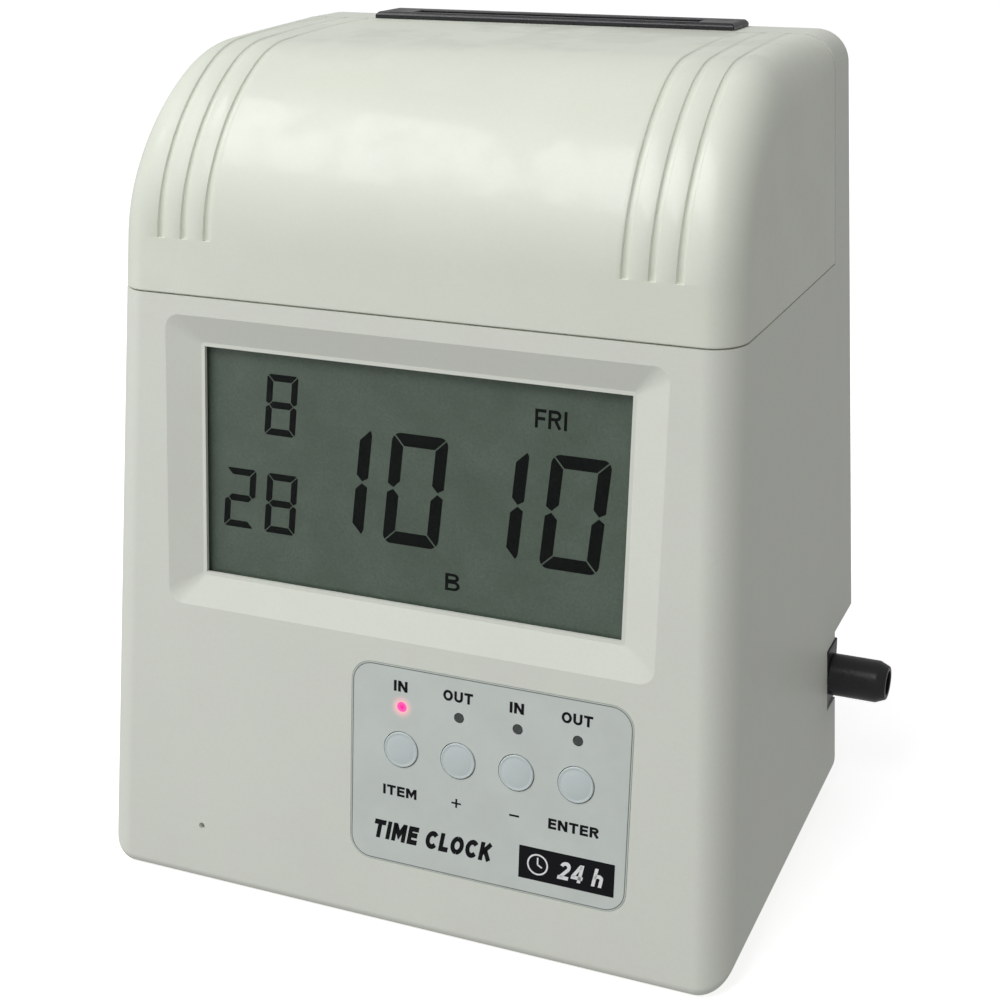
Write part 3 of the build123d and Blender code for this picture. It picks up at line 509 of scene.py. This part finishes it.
hoodLow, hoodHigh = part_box("hood")
hood = {
    "lean": math.degrees(math.asin(-inward[2])),
    "arcs": ((44.2, 28.65), (65.5, 59.96), (36.5, 86.29), (701.0, 90.0)),  # radius, lean reached
    "draft": 2.6,  # lean of the sides
    "wall": 1.1,
    "rim": 0.35,  # round on the open edge
    "radius": (9.0, 10.8, 14.5),  # at both ends; where roundest, across the top and down the side
    "grooves": (56.4, 63.2, 70.0),
    "grooveWidth": 1.9,
    "grooveDepth": 0.8,
    "fade": 0.25,  # share of the depth left at the rear
    "ledge": 0.25,  # length over which the grooves begin, past the bend
    "archRows": 84,
    "filletSteps": 15,
    "merge": 4e-6,
    "sharp": math.radians(38),
}


# The outline from the foot to the rear edge: a straight, then arcs that each turn about their own
# centre by the angle to the next lean, then a level run. Returns points (y, z) and the outward unit
# normals, at the given distances along it.
def hoodProfile(rows):
    lean = math.radians(hood["lean"])
    rise, start = 0.0, hood["lean"]
    for radius, stop in hood["arcs"]:
        rise += radius * (math.sin(math.radians(stop)) - math.sin(math.radians(start)))
        start = stop
    footZ = hoodLow.z / mm
    bendZ = hoodHigh.z / mm - rise
    spot = np.array((faceFoot[1] / mm + footZ * math.tan(lean), footZ))
    straight = (bendZ - footZ) / math.cos(lean)
    points = np.empty((len(rows), 2))
    angle = np.empty(len(rows))
    low = rows <= straight
    points[low] = spot + rows[low, None] * np.array((math.sin(lean), math.cos(lean)))
    angle[low] = lean
    spot = spot + straight * np.array((math.sin(lean), math.cos(lean)))
    run, start = straight, lean
    for radius, stop in hood["arcs"]:
        stop = math.radians(stop)
        inside = rows > run
        turn = np.minimum(start + (rows[inside] - run) / radius, stop)
        centre = spot + radius * np.array((math.cos(start), -math.sin(start)))
        points[inside] = centre + radius * np.stack((-np.cos(turn), np.sin(turn)), 1)
        angle[inside] = turn
        spot = centre + radius * np.array((-math.cos(stop), math.sin(stop)))
        run, start = run + radius * (stop - start), stop
    level = rows > run
    points[level] = spot + (rows[level, None] - run) * np.array((1.0, 0.0))
    return points, np.stack((-np.cos(angle), np.sin(angle)), 1), straight, run


# Distances along the outline: close together at the rims and where the grooves begin.
def hoodRows():
    _, _, straight, run = hoodProfile(np.zeros(1))
    crown = hoodProfile(np.array((run,)))[0][0, 0]
    total = run + hoodHigh.y / mm - crown
    rim = hood["rim"] * np.array((0, 0.15, 0.4, 0.7, 1.0))
    foot = np.linspace(hood["rim"] * 1.5, straight - 0.6, 8)
    start = straight + hood["ledge"] * np.array((-1.0, 0.0, 0.48, 1.0, 2.0))
    arcs = np.linspace(straight + 1.2, run, hood["archRows"])[:-1]
    roof = np.linspace(run, total - hood["rim"] * 1.6, 5) if total - run > 1.5 else np.array(())
    rows = np.concatenate((rim, foot, start, arcs, roof, total - rim[::-1]))
    return np.unique(np.round(rows[rows <= total], 6)), straight, total


# One skin of the hood. Each row lies across the outline at one point of it: over the left side, round
# a fillet, across the flat with the grooves cut along the normal, and over the right side. The fillet
# is a quarter ellipse from the apex where face and side would meet: (1 - sin) of its reach over the
# top and (1 - cos) of its reach down the side. Near the foot its points climb the slope, so that
# every row there ends level. On the side a row runs straight to its own point of the open edge.
def hoodSkin(inset, grooved):
    rows, straight, total = hoodRows()
    outline, normal, _, _ = hoodProfile(rows)
    fromEnd = np.minimum(rows, total - rows)
    rim = np.clip(1 - fromEnd / hood["rim"], 0, 1)
    sink = inset + (0 if inset else 1) * hood["rim"] * (1 - np.sqrt(1 - rim**2))
    share = np.clip((rows - straight) / (total - straight), 0, 1)
    smooth = share * share * (3 - 2 * share)
    swell = np.sin(math.pi * share**2.4)
    end, over, under = hood["radius"]
    over, under = (end + (most - end) * swell - sink for most in (over, under))
    draft = math.radians(hood["draft"])
    foot = hoodHigh.x / mm * math.cos(draft) + hoodLow.z / mm * math.sin(draft)
    base = outline - sink[:, None] * normal
    outer = (foot - sink - math.sin(draft) * base[:, 1]) / math.cos(draft)
    middle = outer - over

    # Across a groove: where its points lie about each wall, and their share of the depth.
    half = hood["grooveWidth"] / 2
    wall = np.array((-0.24, -0.06, 0.16, 0.4))
    shape = np.concatenate((wall - half, (0.0,), half - wall[::-1]))
    cut = np.array((0, 0.1, 0.82, 1, 1, 1, 0.82, 0.1, 0))
    flat = [np.linspace(0, hood["grooves"][0] - half - 1.2, 9)]
    deep = [np.zeros(9)]
    for place in hood["grooves"]:
        flat.append(place + shape)
        deep.append(cut)
    flat, deep = np.concatenate(flat), np.concatenate(deep)
    flat = np.minimum(flat[None, :], middle[:, None] - 0.02)
    begin = np.clip((rows - straight) / hood["ledge"], 0, 1) * (1 - (1 - hood["fade"]) * smooth)
    depth = hood["grooveDepth"] * deep[None, :] * begin[:, None] * (1 if grooved else 0)
    yz = base[:, None, :] - depth[:, :, None] * normal[:, None, :]
    across = np.concatenate((flat[:, :, None], yz), 2)

    side = np.array((math.cos(draft), 0, math.sin(draft)))
    face = np.concatenate((np.zeros((len(rows), 1)), normal), 1)
    down = (face @ side)[:, None] * side - face
    down *= (under / np.linalg.norm(down, axis=1))[:, None]
    swing = np.linspace(0, math.pi / 2, hood["filletSteps"])[None, :, None]
    apex = np.concatenate((outer[:, None], base), 1)[:, None]
    inwards = np.stack((-over, 0 * over, 0 * over), 1)[:, None]
    fillet = apex + (1 - np.sin(swing)) * inwards + (1 - np.cos(swing)) * down[:, None]
    lean = math.radians(hood["lean"])
    drop = base[:, None, 1] - fillet[:, :, 2]
    climb = drop / math.cos(lean) * np.clip(1 - rows / straight, 0, 1)[:, None]
    upSlope = np.array((-math.tan(draft) * math.cos(lean), math.sin(lean), math.cos(lean)))
    fillet += climb[:, :, None] * upSlope

    # The open edge runs level to the rear corner and then up; the rows share its length evenly,
    # and the one nearest the corner is put on it.
    last = fillet[:, -1]
    frontY, cornerY, cornerZ, topZ = last[0, 1], hoodHigh.y / mm, hoodLow.z / mm, last[-1, 2]
    length = cornerY - frontY + topZ - cornerZ
    travel = (0.12 + 0.76 * rows / total) * length
    travel[np.argmin(abs(travel - (cornerY - frontY)))] = cornerY - frontY
    edgeY = frontY + np.minimum(travel, cornerY - frontY)
    edgeZ = cornerZ + np.maximum(travel - (cornerY - frontY), 0)
    edgeX = (foot - inset - math.sin(draft) * edgeZ) / math.cos(draft)
    edge = np.stack((edgeX, edgeY, edgeZ), 1)
    reach = np.array((0.03, 0.25, 0.5, 0.75, 1.0))[None, :, None]
    sidePoints = last[:, None] + reach * (edge - last)[:, None]
    right = np.concatenate((across, fillet, sidePoints), 1)
    left = right[:, ::-1, :] * np.array((-1.0, 1.0, 1.0))
    return np.concatenate((left[:, :-1, :], right), 1)


# The outer skin and the inner one, joined along the four open edges.
def makeHood():
    outside, inside = hoodSkin(0.0, True), hoodSkin(hood["wall"], False)
    rows, columns, _ = outside.shape
    count = rows * columns
    grid = np.arange(count).reshape(rows, columns)

    def quads(a, b, c, d):
        return np.stack((a, b, c, d), -1).reshape(-1, 4)

    skin = quads(grid[:-1, :-1], grid[:-1, 1:], grid[1:, 1:], grid[1:, :-1])
    back = skin[:, ::-1] + count
    foot = quads(grid[0, 1:], grid[0, :-1], grid[0, :-1] + count, grid[0, 1:] + count)
    rear = quads(grid[-1, :-1], grid[-1, 1:], grid[-1, 1:] + count, grid[-1, :-1] + count)
    ends = [quads(grid[:-1, 0], grid[1:, 0], grid[1:, 0] + count, grid[:-1, 0] + count)]
    ends.append(quads(grid[1:, -1], grid[:-1, -1], grid[:-1, -1] + count, grid[1:, -1] + count))
    faces = np.concatenate((skin, back, foot, rear, *ends))
    points = np.concatenate((outside.reshape(-1, 3), inside.reshape(-1, 3))) * mm
    mesh = bpy.data.meshes.new("hood_skin")
    mesh.from_pydata(points.tolist(), [], faces.tolist())
    work = bmesh.new()
    work.from_mesh(mesh)
    bmesh.ops.remove_doubles(work, verts=work.verts, dist=hood["merge"])
    bmesh.ops.dissolve_degenerate(work, edges=work.edges, dist=hood["merge"] / 4)
    work.to_mesh(mesh)
    work.free()
    mesh.shade_smooth()
    mesh.set_sharp_from_angle(angle=hood["sharp"])
    piece = addPiece("hood_skin", mesh, finishes["ivory_hood"], bodyOf["hood"])
    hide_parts("hood")


makeHood()
print("hood made")


# Figures of seven bars; the slant is how far a figure leans to the right for each unit of height.
digits = {
    "thick": 0.05,  # of the segment film
    "lift": 0.01,  # off the glass
    "small": {"width": 9.4, "height": 16.4, "stroke": 2.1, "gap": 0.3, "round": 1.2, "slant": 0.066},
    "large": {"width": 16.1, "height": 29.5, "stroke": 3.7, "gap": 0.4, "round": 2.6, "slant": 0.088},
}
segmentsOf = {"0": "abcdef", "1": "bc", "2": "abged", "8": "abcdefg"}
shown = (  # figure, size, and its lower left corner: to the right and up on the front
    ("8", "small", -42.8, 128.5),
    ("2", "small", -55.3, 102.3),
    ("8", "small", -42.9, 102.2),
    ("1", "large", -29.4, 104.7),
    ("0", "large", -8.0, 104.4),
    ("1", "large", 13.9, 104.4),
    ("0", "large", 35.5, 104.1),
)


# Moves each side of a convex outline inwards and meets the sides again.
def insetPolygon(points, distance):
    following = np.roll(points, -1, 0)
    way = following - points
    way /= np.linalg.norm(way, axis=1)[:, None]
    inside = np.stack((-way[:, 1], way[:, 0]), 1)
    area = (points[:, 0] * following[:, 1] - following[:, 0] * points[:, 1]).sum()
    inside *= math.copysign(1.0, area)
    start = points + distance * inside
    before, beforeWay = np.roll(start, 1, 0), np.roll(way, 1, 0)
    cross = beforeWay[:, 0] * way[:, 1] - beforeWay[:, 1] * way[:, 0]
    gap = start - before
    along = (gap[:, 0] * way[:, 1] - gap[:, 1] * way[:, 0]) / cross
    return before + along[:, None] * beforeWay


# Seven bars with mitred ends inside a rounded frame, then sheared by the slant.
def segmentOutlines(figure, look):
    wide, tall, stroke, bow = look["width"], look["height"], look["stroke"], look["round"]
    mid, half = tall / 2, stroke / 2
    swing = np.radians(np.linspace(45, 90, 4))
    crown = np.stack((bow - bow * np.cos(swing), tall - bow + bow * np.sin(swing)), 1)  # upper left corner
    flank = np.stack((bow - bow * np.sin(swing), tall - bow + bow * np.cos(swing)), 1)  # its lower half
    down, across = np.array((1.0, -1.0)), np.array((-1.0, 1.0))
    under = ((wide - stroke, tall - stroke), (stroke, tall - stroke))
    top = np.concatenate((crown, crown[::-1] * across + (wide, 0), under))
    notch = ((0, mid + half * 0.6), (half, mid), (stroke, mid + half), (stroke, tall - stroke))
    upper = np.concatenate((flank, notch))
    ends = np.array(((half, mid), (stroke, mid + half)))
    tips = np.array(((wide - stroke, mid + half), (wide - half, mid), (wide - stroke, mid - half)))
    bar = np.concatenate((ends, tips, ((stroke, mid - half),)))
    outlines = {
        "a": top,
        "d": top * down + (0, tall),
        "f": upper,
        "b": upper * across + (wide, 0),
        "e": upper * down + (0, tall),
        "c": upper * -1.0 + (wide, tall),
        "g": bar,
    }
    made = []
    for letter in segmentsOf[figure]:
        outline = insetPolygon(outlines[letter], look["gap"] / 2)
        outline[:, 0] += look["slant"] * outline[:, 1]
        made.append(outline)
    return made


# Closed plates on the front: each outline at two heights, joined by side walls.
def prisms(outlines, low, high):
    points, faces, count = [], [], 0
    for outline in outlines:
        following = np.roll(outline, -1, 0)
        area = (outline[:, 0] * following[:, 1] - following[:, 0] * outline[:, 1]).sum()
        ring = outline if area > 0 else outline[::-1]
        n = len(ring)
        points.append(onFace(ring[:, 0], ring[:, 1], np.full(n, high)))
        points.append(onFace(ring[:, 0], ring[:, 1], np.full(n, low)))
        faces.append([count + i for i in range(n)])
        faces.append([count + n + i for i in reversed(range(n))])
        faces += [[count + i, count + n + i, count + n + (i + 1) % n, count + (i + 1) % n] for i in range(n)]
        count += 2 * n
    return np.concatenate(points), faces


outlines = []
for figure, size, right, up in shown:
    for outline in segmentOutlines(figure, digits[size]):
        outlines.append(outline + (right, up))
onGlass = glassOut + digits["lift"]
points, faces = prisms(outlines, onGlass, onGlass + digits["thick"])
newPiece("display_digits", points, faces, segmentInk, "root")


# Part of an ellipse: centre plus half width by the cosine and half height by the sine.
def arc(x, y, wide, tall, start, stop, parts=14):
    swing = np.radians(np.linspace(start, stop, parts + 1))
    return [(x + wide * math.cos(a), y + tall * math.sin(a)) for a in swing]


# Width and centre lines of one block letter, one unit tall, for strokes of that width.
def letterStrokes(letter, stem):
    h, top = stem / 2, 1 - stem / 2
    post = [(h, 0), (h, 1)]
    return {
        " ": (0.3, []),
        "I": (stem, [post]),
        "T": (0.78, [[(0.39, 0), (0.39, 1 - stem)], [(0, top), (0.78, top)]]),
        "E": (0.68, [post, [(stem, top), (0.68, top)], [(stem, 0.52), (0.64, 0.52)], [(stem, h), (0.68, h)]]),
        "F": (0.64, [post, [(stem, top), (0.64, top)], [(stem, 0.5), (0.58, 0.5)]]),
        "L": (0.62, [post, [(stem, h), (0.62, h)]]),
        "M": (0.94, [post, [(0.94 - h, 0), (0.94 - h, 1)], [(0.16, 0.93), (0.47, 0.1 + stem), (0.78, 0.93)]]),
        "N": (0.8, [post, [(0.8 - h, 0), (0.8 - h, 1)], [(0.15, 0.92), (0.65, 0.08)]]),
        "O": (0.88, [arc(0.44, 0.5, 0.44 - h, 0.5 - h, a, a + 180) for a in (90, 270)]),
        "C": (0.82, [arc(0.44, 0.5, 0.44 - h, 0.5 - h, 40, 320, 22)]),
        "U": (0.78, [[(h, 1)] + arc(0.39, 0.36, 0.39 - h, 0.36 - h, 180, 360) + [(0.78 - h, 1)]]),
        "R": (
            0.78,
            [
                post,
                [(stem, top)] + arc(0.44, 0.72, 0.3 - h, 0.28 - h, 90, -90) + [(stem, 0.44 + h)],
                [(0.42, 0.46), (0.68, 0.03)],
            ],
        ),
        "B": (
            0.74,
            [
                post,
                [(stem, top)] + arc(0.4, 0.75, 0.29 - h, 0.25 - h, 90, -90) + [(stem, 0.5 + h)],
                [(stem, 0.56 - h)] + arc(0.42, 0.28, 0.32 - h, 0.28 - h, 90, -90) + [(stem, h)],
            ],
        ),
        "K": (0.8, [post, [(0.14, 0.36), (0.66, 0.96)], [(0.34, 0.58), (0.69, 0.03)]]),
        "2": (0.64, [arc(0.32, 0.68, 0.32 - h, 0.32 - h, 165, -30) + [(0.16, 0.14)], [(0, h), (0.64, h)]]),
        "4": (0.68, [[(0.5, 0), (0.5, 1)], [(0, 0.26), (0.68, 0.26)], [(0.09, 0.3), (0.45, 0.95)]]),
        "h": (0.6, [post, arc(0.3, 0.42, 0.3 - h, 0.26 - h, 180, 0) + [(0.6 - h, 0)]]),
        "+": (0.9, [[(0, 0.5), (0.9, 0.5)], [(0.45, 0.05), (0.45, 0.95)]]),
    }[letter]


# A line of even width: its points pushed both ways along the mitre of their two normals.
def strokeOutline(line, width):
    line = np.array(line)
    way = np.diff(line, axis=0)
    way /= np.linalg.norm(way, axis=1)[:, None]
    normal = np.stack((-way[:, 1], way[:, 0]), 1)
    before, after = np.concatenate((normal[:1], normal)), np.concatenate((normal, normal[-1:]))
    push = (before + after) / (1 + (before * after).sum(1))[:, None] * width / 2
    return np.concatenate((line + push, (line - push)[::-1]))


# Printed signs: lower left corner, width and height in millimetres, stroke as a share of the height.
signs = {
    "thick": 0.03,
    "between": 0.13,  # gap between letters, in letter heights
    "day": {"text": "FRI", "corner": (33.4, 139.4), "size": (8.4, 4.7), "stroke": 0.17},
    "shift": {"text": "B", "corner": (10.3, 94.5), "size": (4.1, 4.5), "stroke": 0.155},
    "title": {"text": "TIME CLOCK", "corner": (-6.7, 25.3), "size": (34.0, 5.2), "stroke": 0.27, "slant": 0.18},
    "hours": {"text": "24 h", "corner": (46.0, 25.0), "size": (12.0, 5.0), "stroke": 0.2, "slant": 0.2},
}


# Block letters fitted to a box on the front; the slant pushes each point to the right by its share of
# the point's height.
def lettering(name, material, slot, out, text, corner, size, stroke, slant=0.0):
    outlines, at = [], 0.0
    for letter in text:
        width, strokes = letterStrokes(letter, stroke)
        outlines += [strokeOutline(line, stroke) + (at, 0) for line in strokes]
        at += width + signs["between"]
    fitted = []
    for outline in outlines:
        placed = outline * (size[0] / (at - signs["between"]), size[1])
        placed[:, 0] += slant * placed[:, 1]
        fitted.append(placed + corner)
    points, faces = prisms(fitted, out, out + signs["thick"])
    newPiece(name, points, faces, material, "root")


lettering("display_day", segmentInk, "lcd_glass", onGlass, **signs["day"])
lettering("display_shift", segmentInk, "lcd_glass", onGlass, **signs["shift"])


# A node's corners as distances to the right and up on the front, in millimetres.
def onFront(name):
    spots = corners(name)
    return np.stack((spots[:, 0] / mm, (spots - faceFoot) @ upFront / mm), 1)


def faceCentre(name):
    spots = onFront(name)
    return (spots.min(0) + spots.max(0)) / 2


# Embossed film keys: a low dome inside a faint rim, as share of the radius and height above the
# face. Behind it come the stem and the flange that keeps the key in, as wide as the node's own.
keyFace = {
    "play": 0.08,  # the film is this much wider than the stem
    "corners": 72,
    "sharp": math.radians(60),
    "dome": ((0.0, 0.42), (0.3, 0.41), (0.55, 0.37), (0.74, 0.28), (0.84, 0.2)),
    "rim": ((0.87, 0.21), (0.9, 0.27), (0.945, 0.29), (0.975, 0.26), (0.99, 0.18), (1.0, 0.05), (1.0, -0.5)),
}
keyNames = ("item_key", "plus_key", "minus_key", "enter_key")


# An outline of radius and height, turned about the key's axis: the radius goes round by its cosine
# and sine.
def makeKey(name):
    right, up = faceCentre(name)
    out = (faceDepth - corners(name) @ inward) / mm
    away = np.hypot(*(onFront(name) - (right, up)).T)
    stem, flange = away[out > 0.05].max(), away.max()  # only the stem stands out of the face
    behind = out[away > flange - 0.1]
    film = np.array(keyFace["dome"] + keyFace["rim"]) * (stem + keyFace["play"], 1)
    back = ((stem, film[-1, 1] - 0.1), (stem, behind.max()), (flange, behind.max()), (flange, behind.min()))
    outline = np.concatenate((film, back))
    count = keyFace["corners"]
    turn = np.linspace(0, 2 * math.pi, count, endpoint=False)
    radius, height = outline[1:, 0, None], outline[1:, 1, None]
    points = onFace(right + radius * np.cos(turn), up + radius * np.sin(turn), height + 0 * turn)
    tipPoint = onFace(np.array((right,)), np.array((up,)), outline[:1, 1])
    points = np.concatenate((points.reshape(-1, 3), tipPoint))
    tip, last = len(points) - 1, len(outline) - 2
    faces = [(tip, at, (at + 1) % count) for at in range(count)]
    for row in range(last):
        for at in range(count):
            this, after = row * count + at, row * count + (at + 1) % count
            faces.append((this, this + count, after + count, after))
    faces.append([last * count + at for at in reversed(range(count))])
    dome = newPiece(name + "_dome", points, faces, finishes["key_film"], bodyOf[name])
    dome.data.shade_smooth()
    dome.data.set_sharp_from_angle(angle=keyFace["sharp"])
    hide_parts(name)


for name in keyNames:
    makeKey(name)

# Words over the lamps and under the keys; each is centred a little to the left of its key.
legends = {
    "lift": 0.01,
    "stroke": 0.225,
    "above": {"foot": 67.1, "left": 0.4, "tall": 2.9, "words": (("IN", 3.9), ("OUT", 8.3)) * 2},
    "below": {
        "foot": 38.1,
        "left": 0.15,
        "words": (  # text, width, height, how far it is raised, stroke; the minus is a flat I
            ("ITEM", 9.7, 2.75, 0.0, 0.225),
            ("+", 2.7, 2.7, 0.1, 0.16),
            ("I", 2.7, 0.5, 1.2, 0.225),
            ("ENTER", 13.7, 2.8, 0.0, 0.225),
        ),
    },
}
above, below = legends["above"], legends["below"]
for count, (key, (text, wide)) in enumerate(zip(keyNames, above["words"])):
    corner = (faceCentre(key)[0] - above["left"] - wide / 2, above["foot"])
    name = f"legend_{text.lower()}_{count + 1}"
    size = (wide, above["tall"])
    lettering(name, blackInk, "panel_film", legends["lift"], text, corner, size, legends["stroke"])
for key, (text, wide, tall, raised, stroke) in zip(keyNames, below["words"]):
    corner = (faceCentre(key)[0] - below["left"] - wide / 2, below["foot"] + raised)
    lettering(f"legend_{key}", blackInk, "panel_film", legends["lift"], text, corner, (wide, tall), stroke)
lettering("panel_title", blackInk, "panel_film", legends["lift"], **signs["title"])

# A fine grey line runs round the film, just inside its edge.
edgeLine = {
    "inset": 0.25,
    "width": 0.26,
    "radius": 5.9,
    "low": 0.005,
    "high": 0.02,
    "ink": paint(126, 133, 128),
}


# A rectangle at that inset from the film's edge, with a quarter circle at each corner.
def roundedPath(inset, parts=8):
    half = np.ptp(onFront("key_panel"), 0) / 2 - inset
    radius = edgeLine["radius"] - inset
    swing = np.radians(np.concatenate([np.linspace(a, a + 90, parts + 1) for a in (0, 90, 180, 270)]))
    sign = np.repeat(np.array(((1, 1), (-1, 1), (-1, -1), (1, -1)), float), parts + 1, axis=0)
    circle = radius * np.stack((np.cos(swing), np.sin(swing)), 1)
    return faceCentre("key_panel") + sign * (half - radius) + circle


outside = roundedPath(edgeLine["inset"])
inside = roundedPath(edgeLine["inset"] + edgeLine["width"])
bands = list(np.stack((outside, np.roll(outside, -1, 0), np.roll(inside, -1, 0), inside), 1))
points, faces = prisms(bands, edgeLine["low"], edgeLine["high"])
newPiece("panel_edge_line", points, faces, displayInk("greyInk", edgeLine["ink"], 0.2), "root")

# A black block with a small dial and a plain 24-hour sign, printed in white.
block = {"corner": (35.4, 23.1), "size": (26.0, 8.9), "low": 0.005, "high": 0.03}
dial = {
    "centre": (40.6, 27.55),
    "radius": 2.9,
    "ring": 0.45,
    "hands": ((0, 1.9), (120, 1.4)),  # degrees from upright, length
    "handWidth": 0.42,
    "low": 0.031,
    "high": 0.05,
}
sides = np.array(((0, 0), (1, 0), (1, 1), (0, 1)), float)
points, faces = prisms([sides * block["size"] + block["corner"]], block["low"], block["high"])
newPiece("panel_block", points, faces, blackInk, "root")


# A flat ring as short curved plates between two circles.
def dialRing(parts=12):
    made = []
    for part in range(parts):
        swing = np.linspace(part, part + 1, 5) / parts * 2 * math.pi
        circle = np.stack((np.cos(swing), np.sin(swing)), 1)
        made.append(np.concatenate((dial["radius"] * circle, (dial["radius"] - dial["ring"]) * circle[::-1])))
    return made


def dialHand(angle, length):
    way = np.array((math.sin(angle), math.cos(angle)))
    over = np.array((way[1], -way[0])) * dial["handWidth"] / 2
    return np.array((-over, over, over + length * way, length * way - over))


marks = dialRing() + [dialHand(math.radians(angle), length) for angle, length in dial["hands"]]
points, faces = prisms([mark + dial["centre"] for mark in marks], dial["low"], dial["high"])
newPiece("panel_dial", points, faces, whiteInk, "root")
lettering("panel_hours", whiteInk, "panel_film", dial["low"], **signs["hours"])
print("display and legends made")

# The floor is a pale sheet swept up all round, in metres; it throws no light on the clock.
floorSheet = {
    "flat": 4.0,
    "bend": 6.0,
    "corners": 64,
    "gap": 0.0002,
    "colour": paint(250, 250, 250),
    "glow": 0.62,
}
studio = {
    "sky": 0.39,
    "skyFall": 0.06,  # weaker on the right
    "key": {"power": 15.7, "place": (-0.58, -0.72, 1.41), "size": (1.7, 0.7), "aim": (0, 0, 0.1)},
    "fill": {"power": 1.0, "place": (-0.9, -0.7, 0.1), "size": (0.8, 0.3), "aim": (0, 0, 0.05)},
}
camera = {  # its place, the way it looks and its roll, with the lens shifted off centre
    "place": (0.18624, -0.39414, 0.26972),
    "forward": (-0.33947, 0.87581, -0.34311),
    "roll": math.radians(-0.18),
    "lens": 59.91,
    "shift": (-0.1001, -0.0443),
    "sensor": 36,
    "near": 0.01,
}


# Rings of points: the middle is flat, then the radius grows by the bend's sine while the height grows
# by one less its cosine.
def makeFloor():
    made = Finish("paleFloor")
    cloud = made.noise(90.0, 2.0)
    pale = floorSheet["colour"]
    made.set(Base_Color=made.blend(cloud, shade(pale, 0.985), pale))
    made.set(Roughness=made.limits(cloud, 0, 1, 0.85, 0.95))
    made.set(Specular_IOR_Level=0.0, Emission_Color=(1, 1, 1, 1), Emission_Strength=floorSheet["glow"])
    count, flat, bend = floorSheet["corners"], floorSheet["flat"], floorSheet["bend"]
    swing = np.radians(np.linspace(0, 90, 13))
    radii = np.concatenate(((flat * 0.02,), flat + bend * np.sin(swing)))
    heights = np.concatenate(((0.0,), bend * (1 - np.cos(swing))))
    around = np.linspace(0, 2 * math.pi, count, endpoint=False)
    ring = np.stack((np.cos(around), np.sin(around), 0 * around), 1)
    points = radii[:, None, None] * ring + heights[:, None, None] * np.array((0.0, 0.0, 1.0))
    faces = [tuple(range(count))]
    for row in range(len(radii) - 1):
        for at in range(count):
            this, after = row * count + at, row * count + (at + 1) % count
            faces.append((this + count, after + count, after, this))
    mesh = bpy.data.meshes.new("floor")
    mesh.from_pydata(points.reshape(-1, 3).tolist(), [], faces)
    mesh.shade_smooth()
    floor = bpy.data.objects.new("floor", mesh)
    bpy.context.scene.collection.objects.link(floor)
    wear(floor, made.material)
    floor.location.z = cadLow.z - floorSheet["gap"]
    floor.visible_diffuse = False
    floor.visible_glossy = False
    floor.visible_shadow = False


def softLight(name, power, place, size, aim):
    light = bpy.data.lights.new(name, "AREA")
    light.shape = "RECTANGLE"
    light.energy, light.size, light.size_y = power, *size
    stand = bpy.data.objects.new(name, light)
    stand.location = place
    stand.rotation_euler = (Vector(aim) - stand.location).to_track_quat("-Z", "Y").to_euler()
    bpy.context.scene.collection.objects.link(stand)


# The camera's axes: right is square to its way and to upright, and both turn by the roll.
def makeCamera():
    forward = Vector(camera["forward"]).normalized()
    right = forward.cross(Vector((0, 0, 1))).normalized()
    up = right.cross(forward)
    turn, tip = math.cos(camera["roll"]), math.sin(camera["roll"])
    right, up = right * turn + up * tip, up * turn - right * tip
    view = Matrix((right, up, -forward)).transposed().to_4x4()
    data = bpy.data.cameras.new("camera")
    data.sensor_width = camera["sensor"]
    data.lens = camera["lens"]
    data.shift_x, data.shift_y = camera["shift"]
    data.clip_start = camera["near"]
    made = bpy.data.objects.new("camera", data)
    made.matrix_world = Matrix.Translation(camera["place"]) @ view
    bpy.context.scene.collection.objects.link(made)
    bpy.context.scene.camera = made


# White all round, its strength falling evenly from the left to the right.
def makeSky():
    world = bpy.data.worlds.new("world")
    world.use_nodes = True
    tree = world.node_tree
    sky = tree.nodes["Background"]
    sky.inputs["Color"].default_value = (1, 1, 1, 1)
    way = tree.nodes.new("ShaderNodeTexCoord")
    split = tree.nodes.new("ShaderNodeSeparateXYZ")
    fall = tree.nodes.new("ShaderNodeMapRange")
    limits = (-1.0, 1.0, studio["sky"] + studio["skyFall"], studio["sky"] - studio["skyFall"])
    for socket, value in enumerate(limits):
        fall.inputs[socket + 1].default_value = value
    tree.links.new(way.outputs["Generated"], split.inputs[0])
    tree.links.new(split.outputs["X"], fall.inputs[0])
    tree.links.new(fall.outputs[0], sky.inputs["Strength"])
    bpy.context.scene.world = world


makeFloor()
softLight("keyLight", **studio["key"])
softLight("fillLight", **studio["fill"])
makeCamera()
makeSky()
bpy.context.scene.view_settings.view_transform = "Standard"
print("floor, lights and camera made")
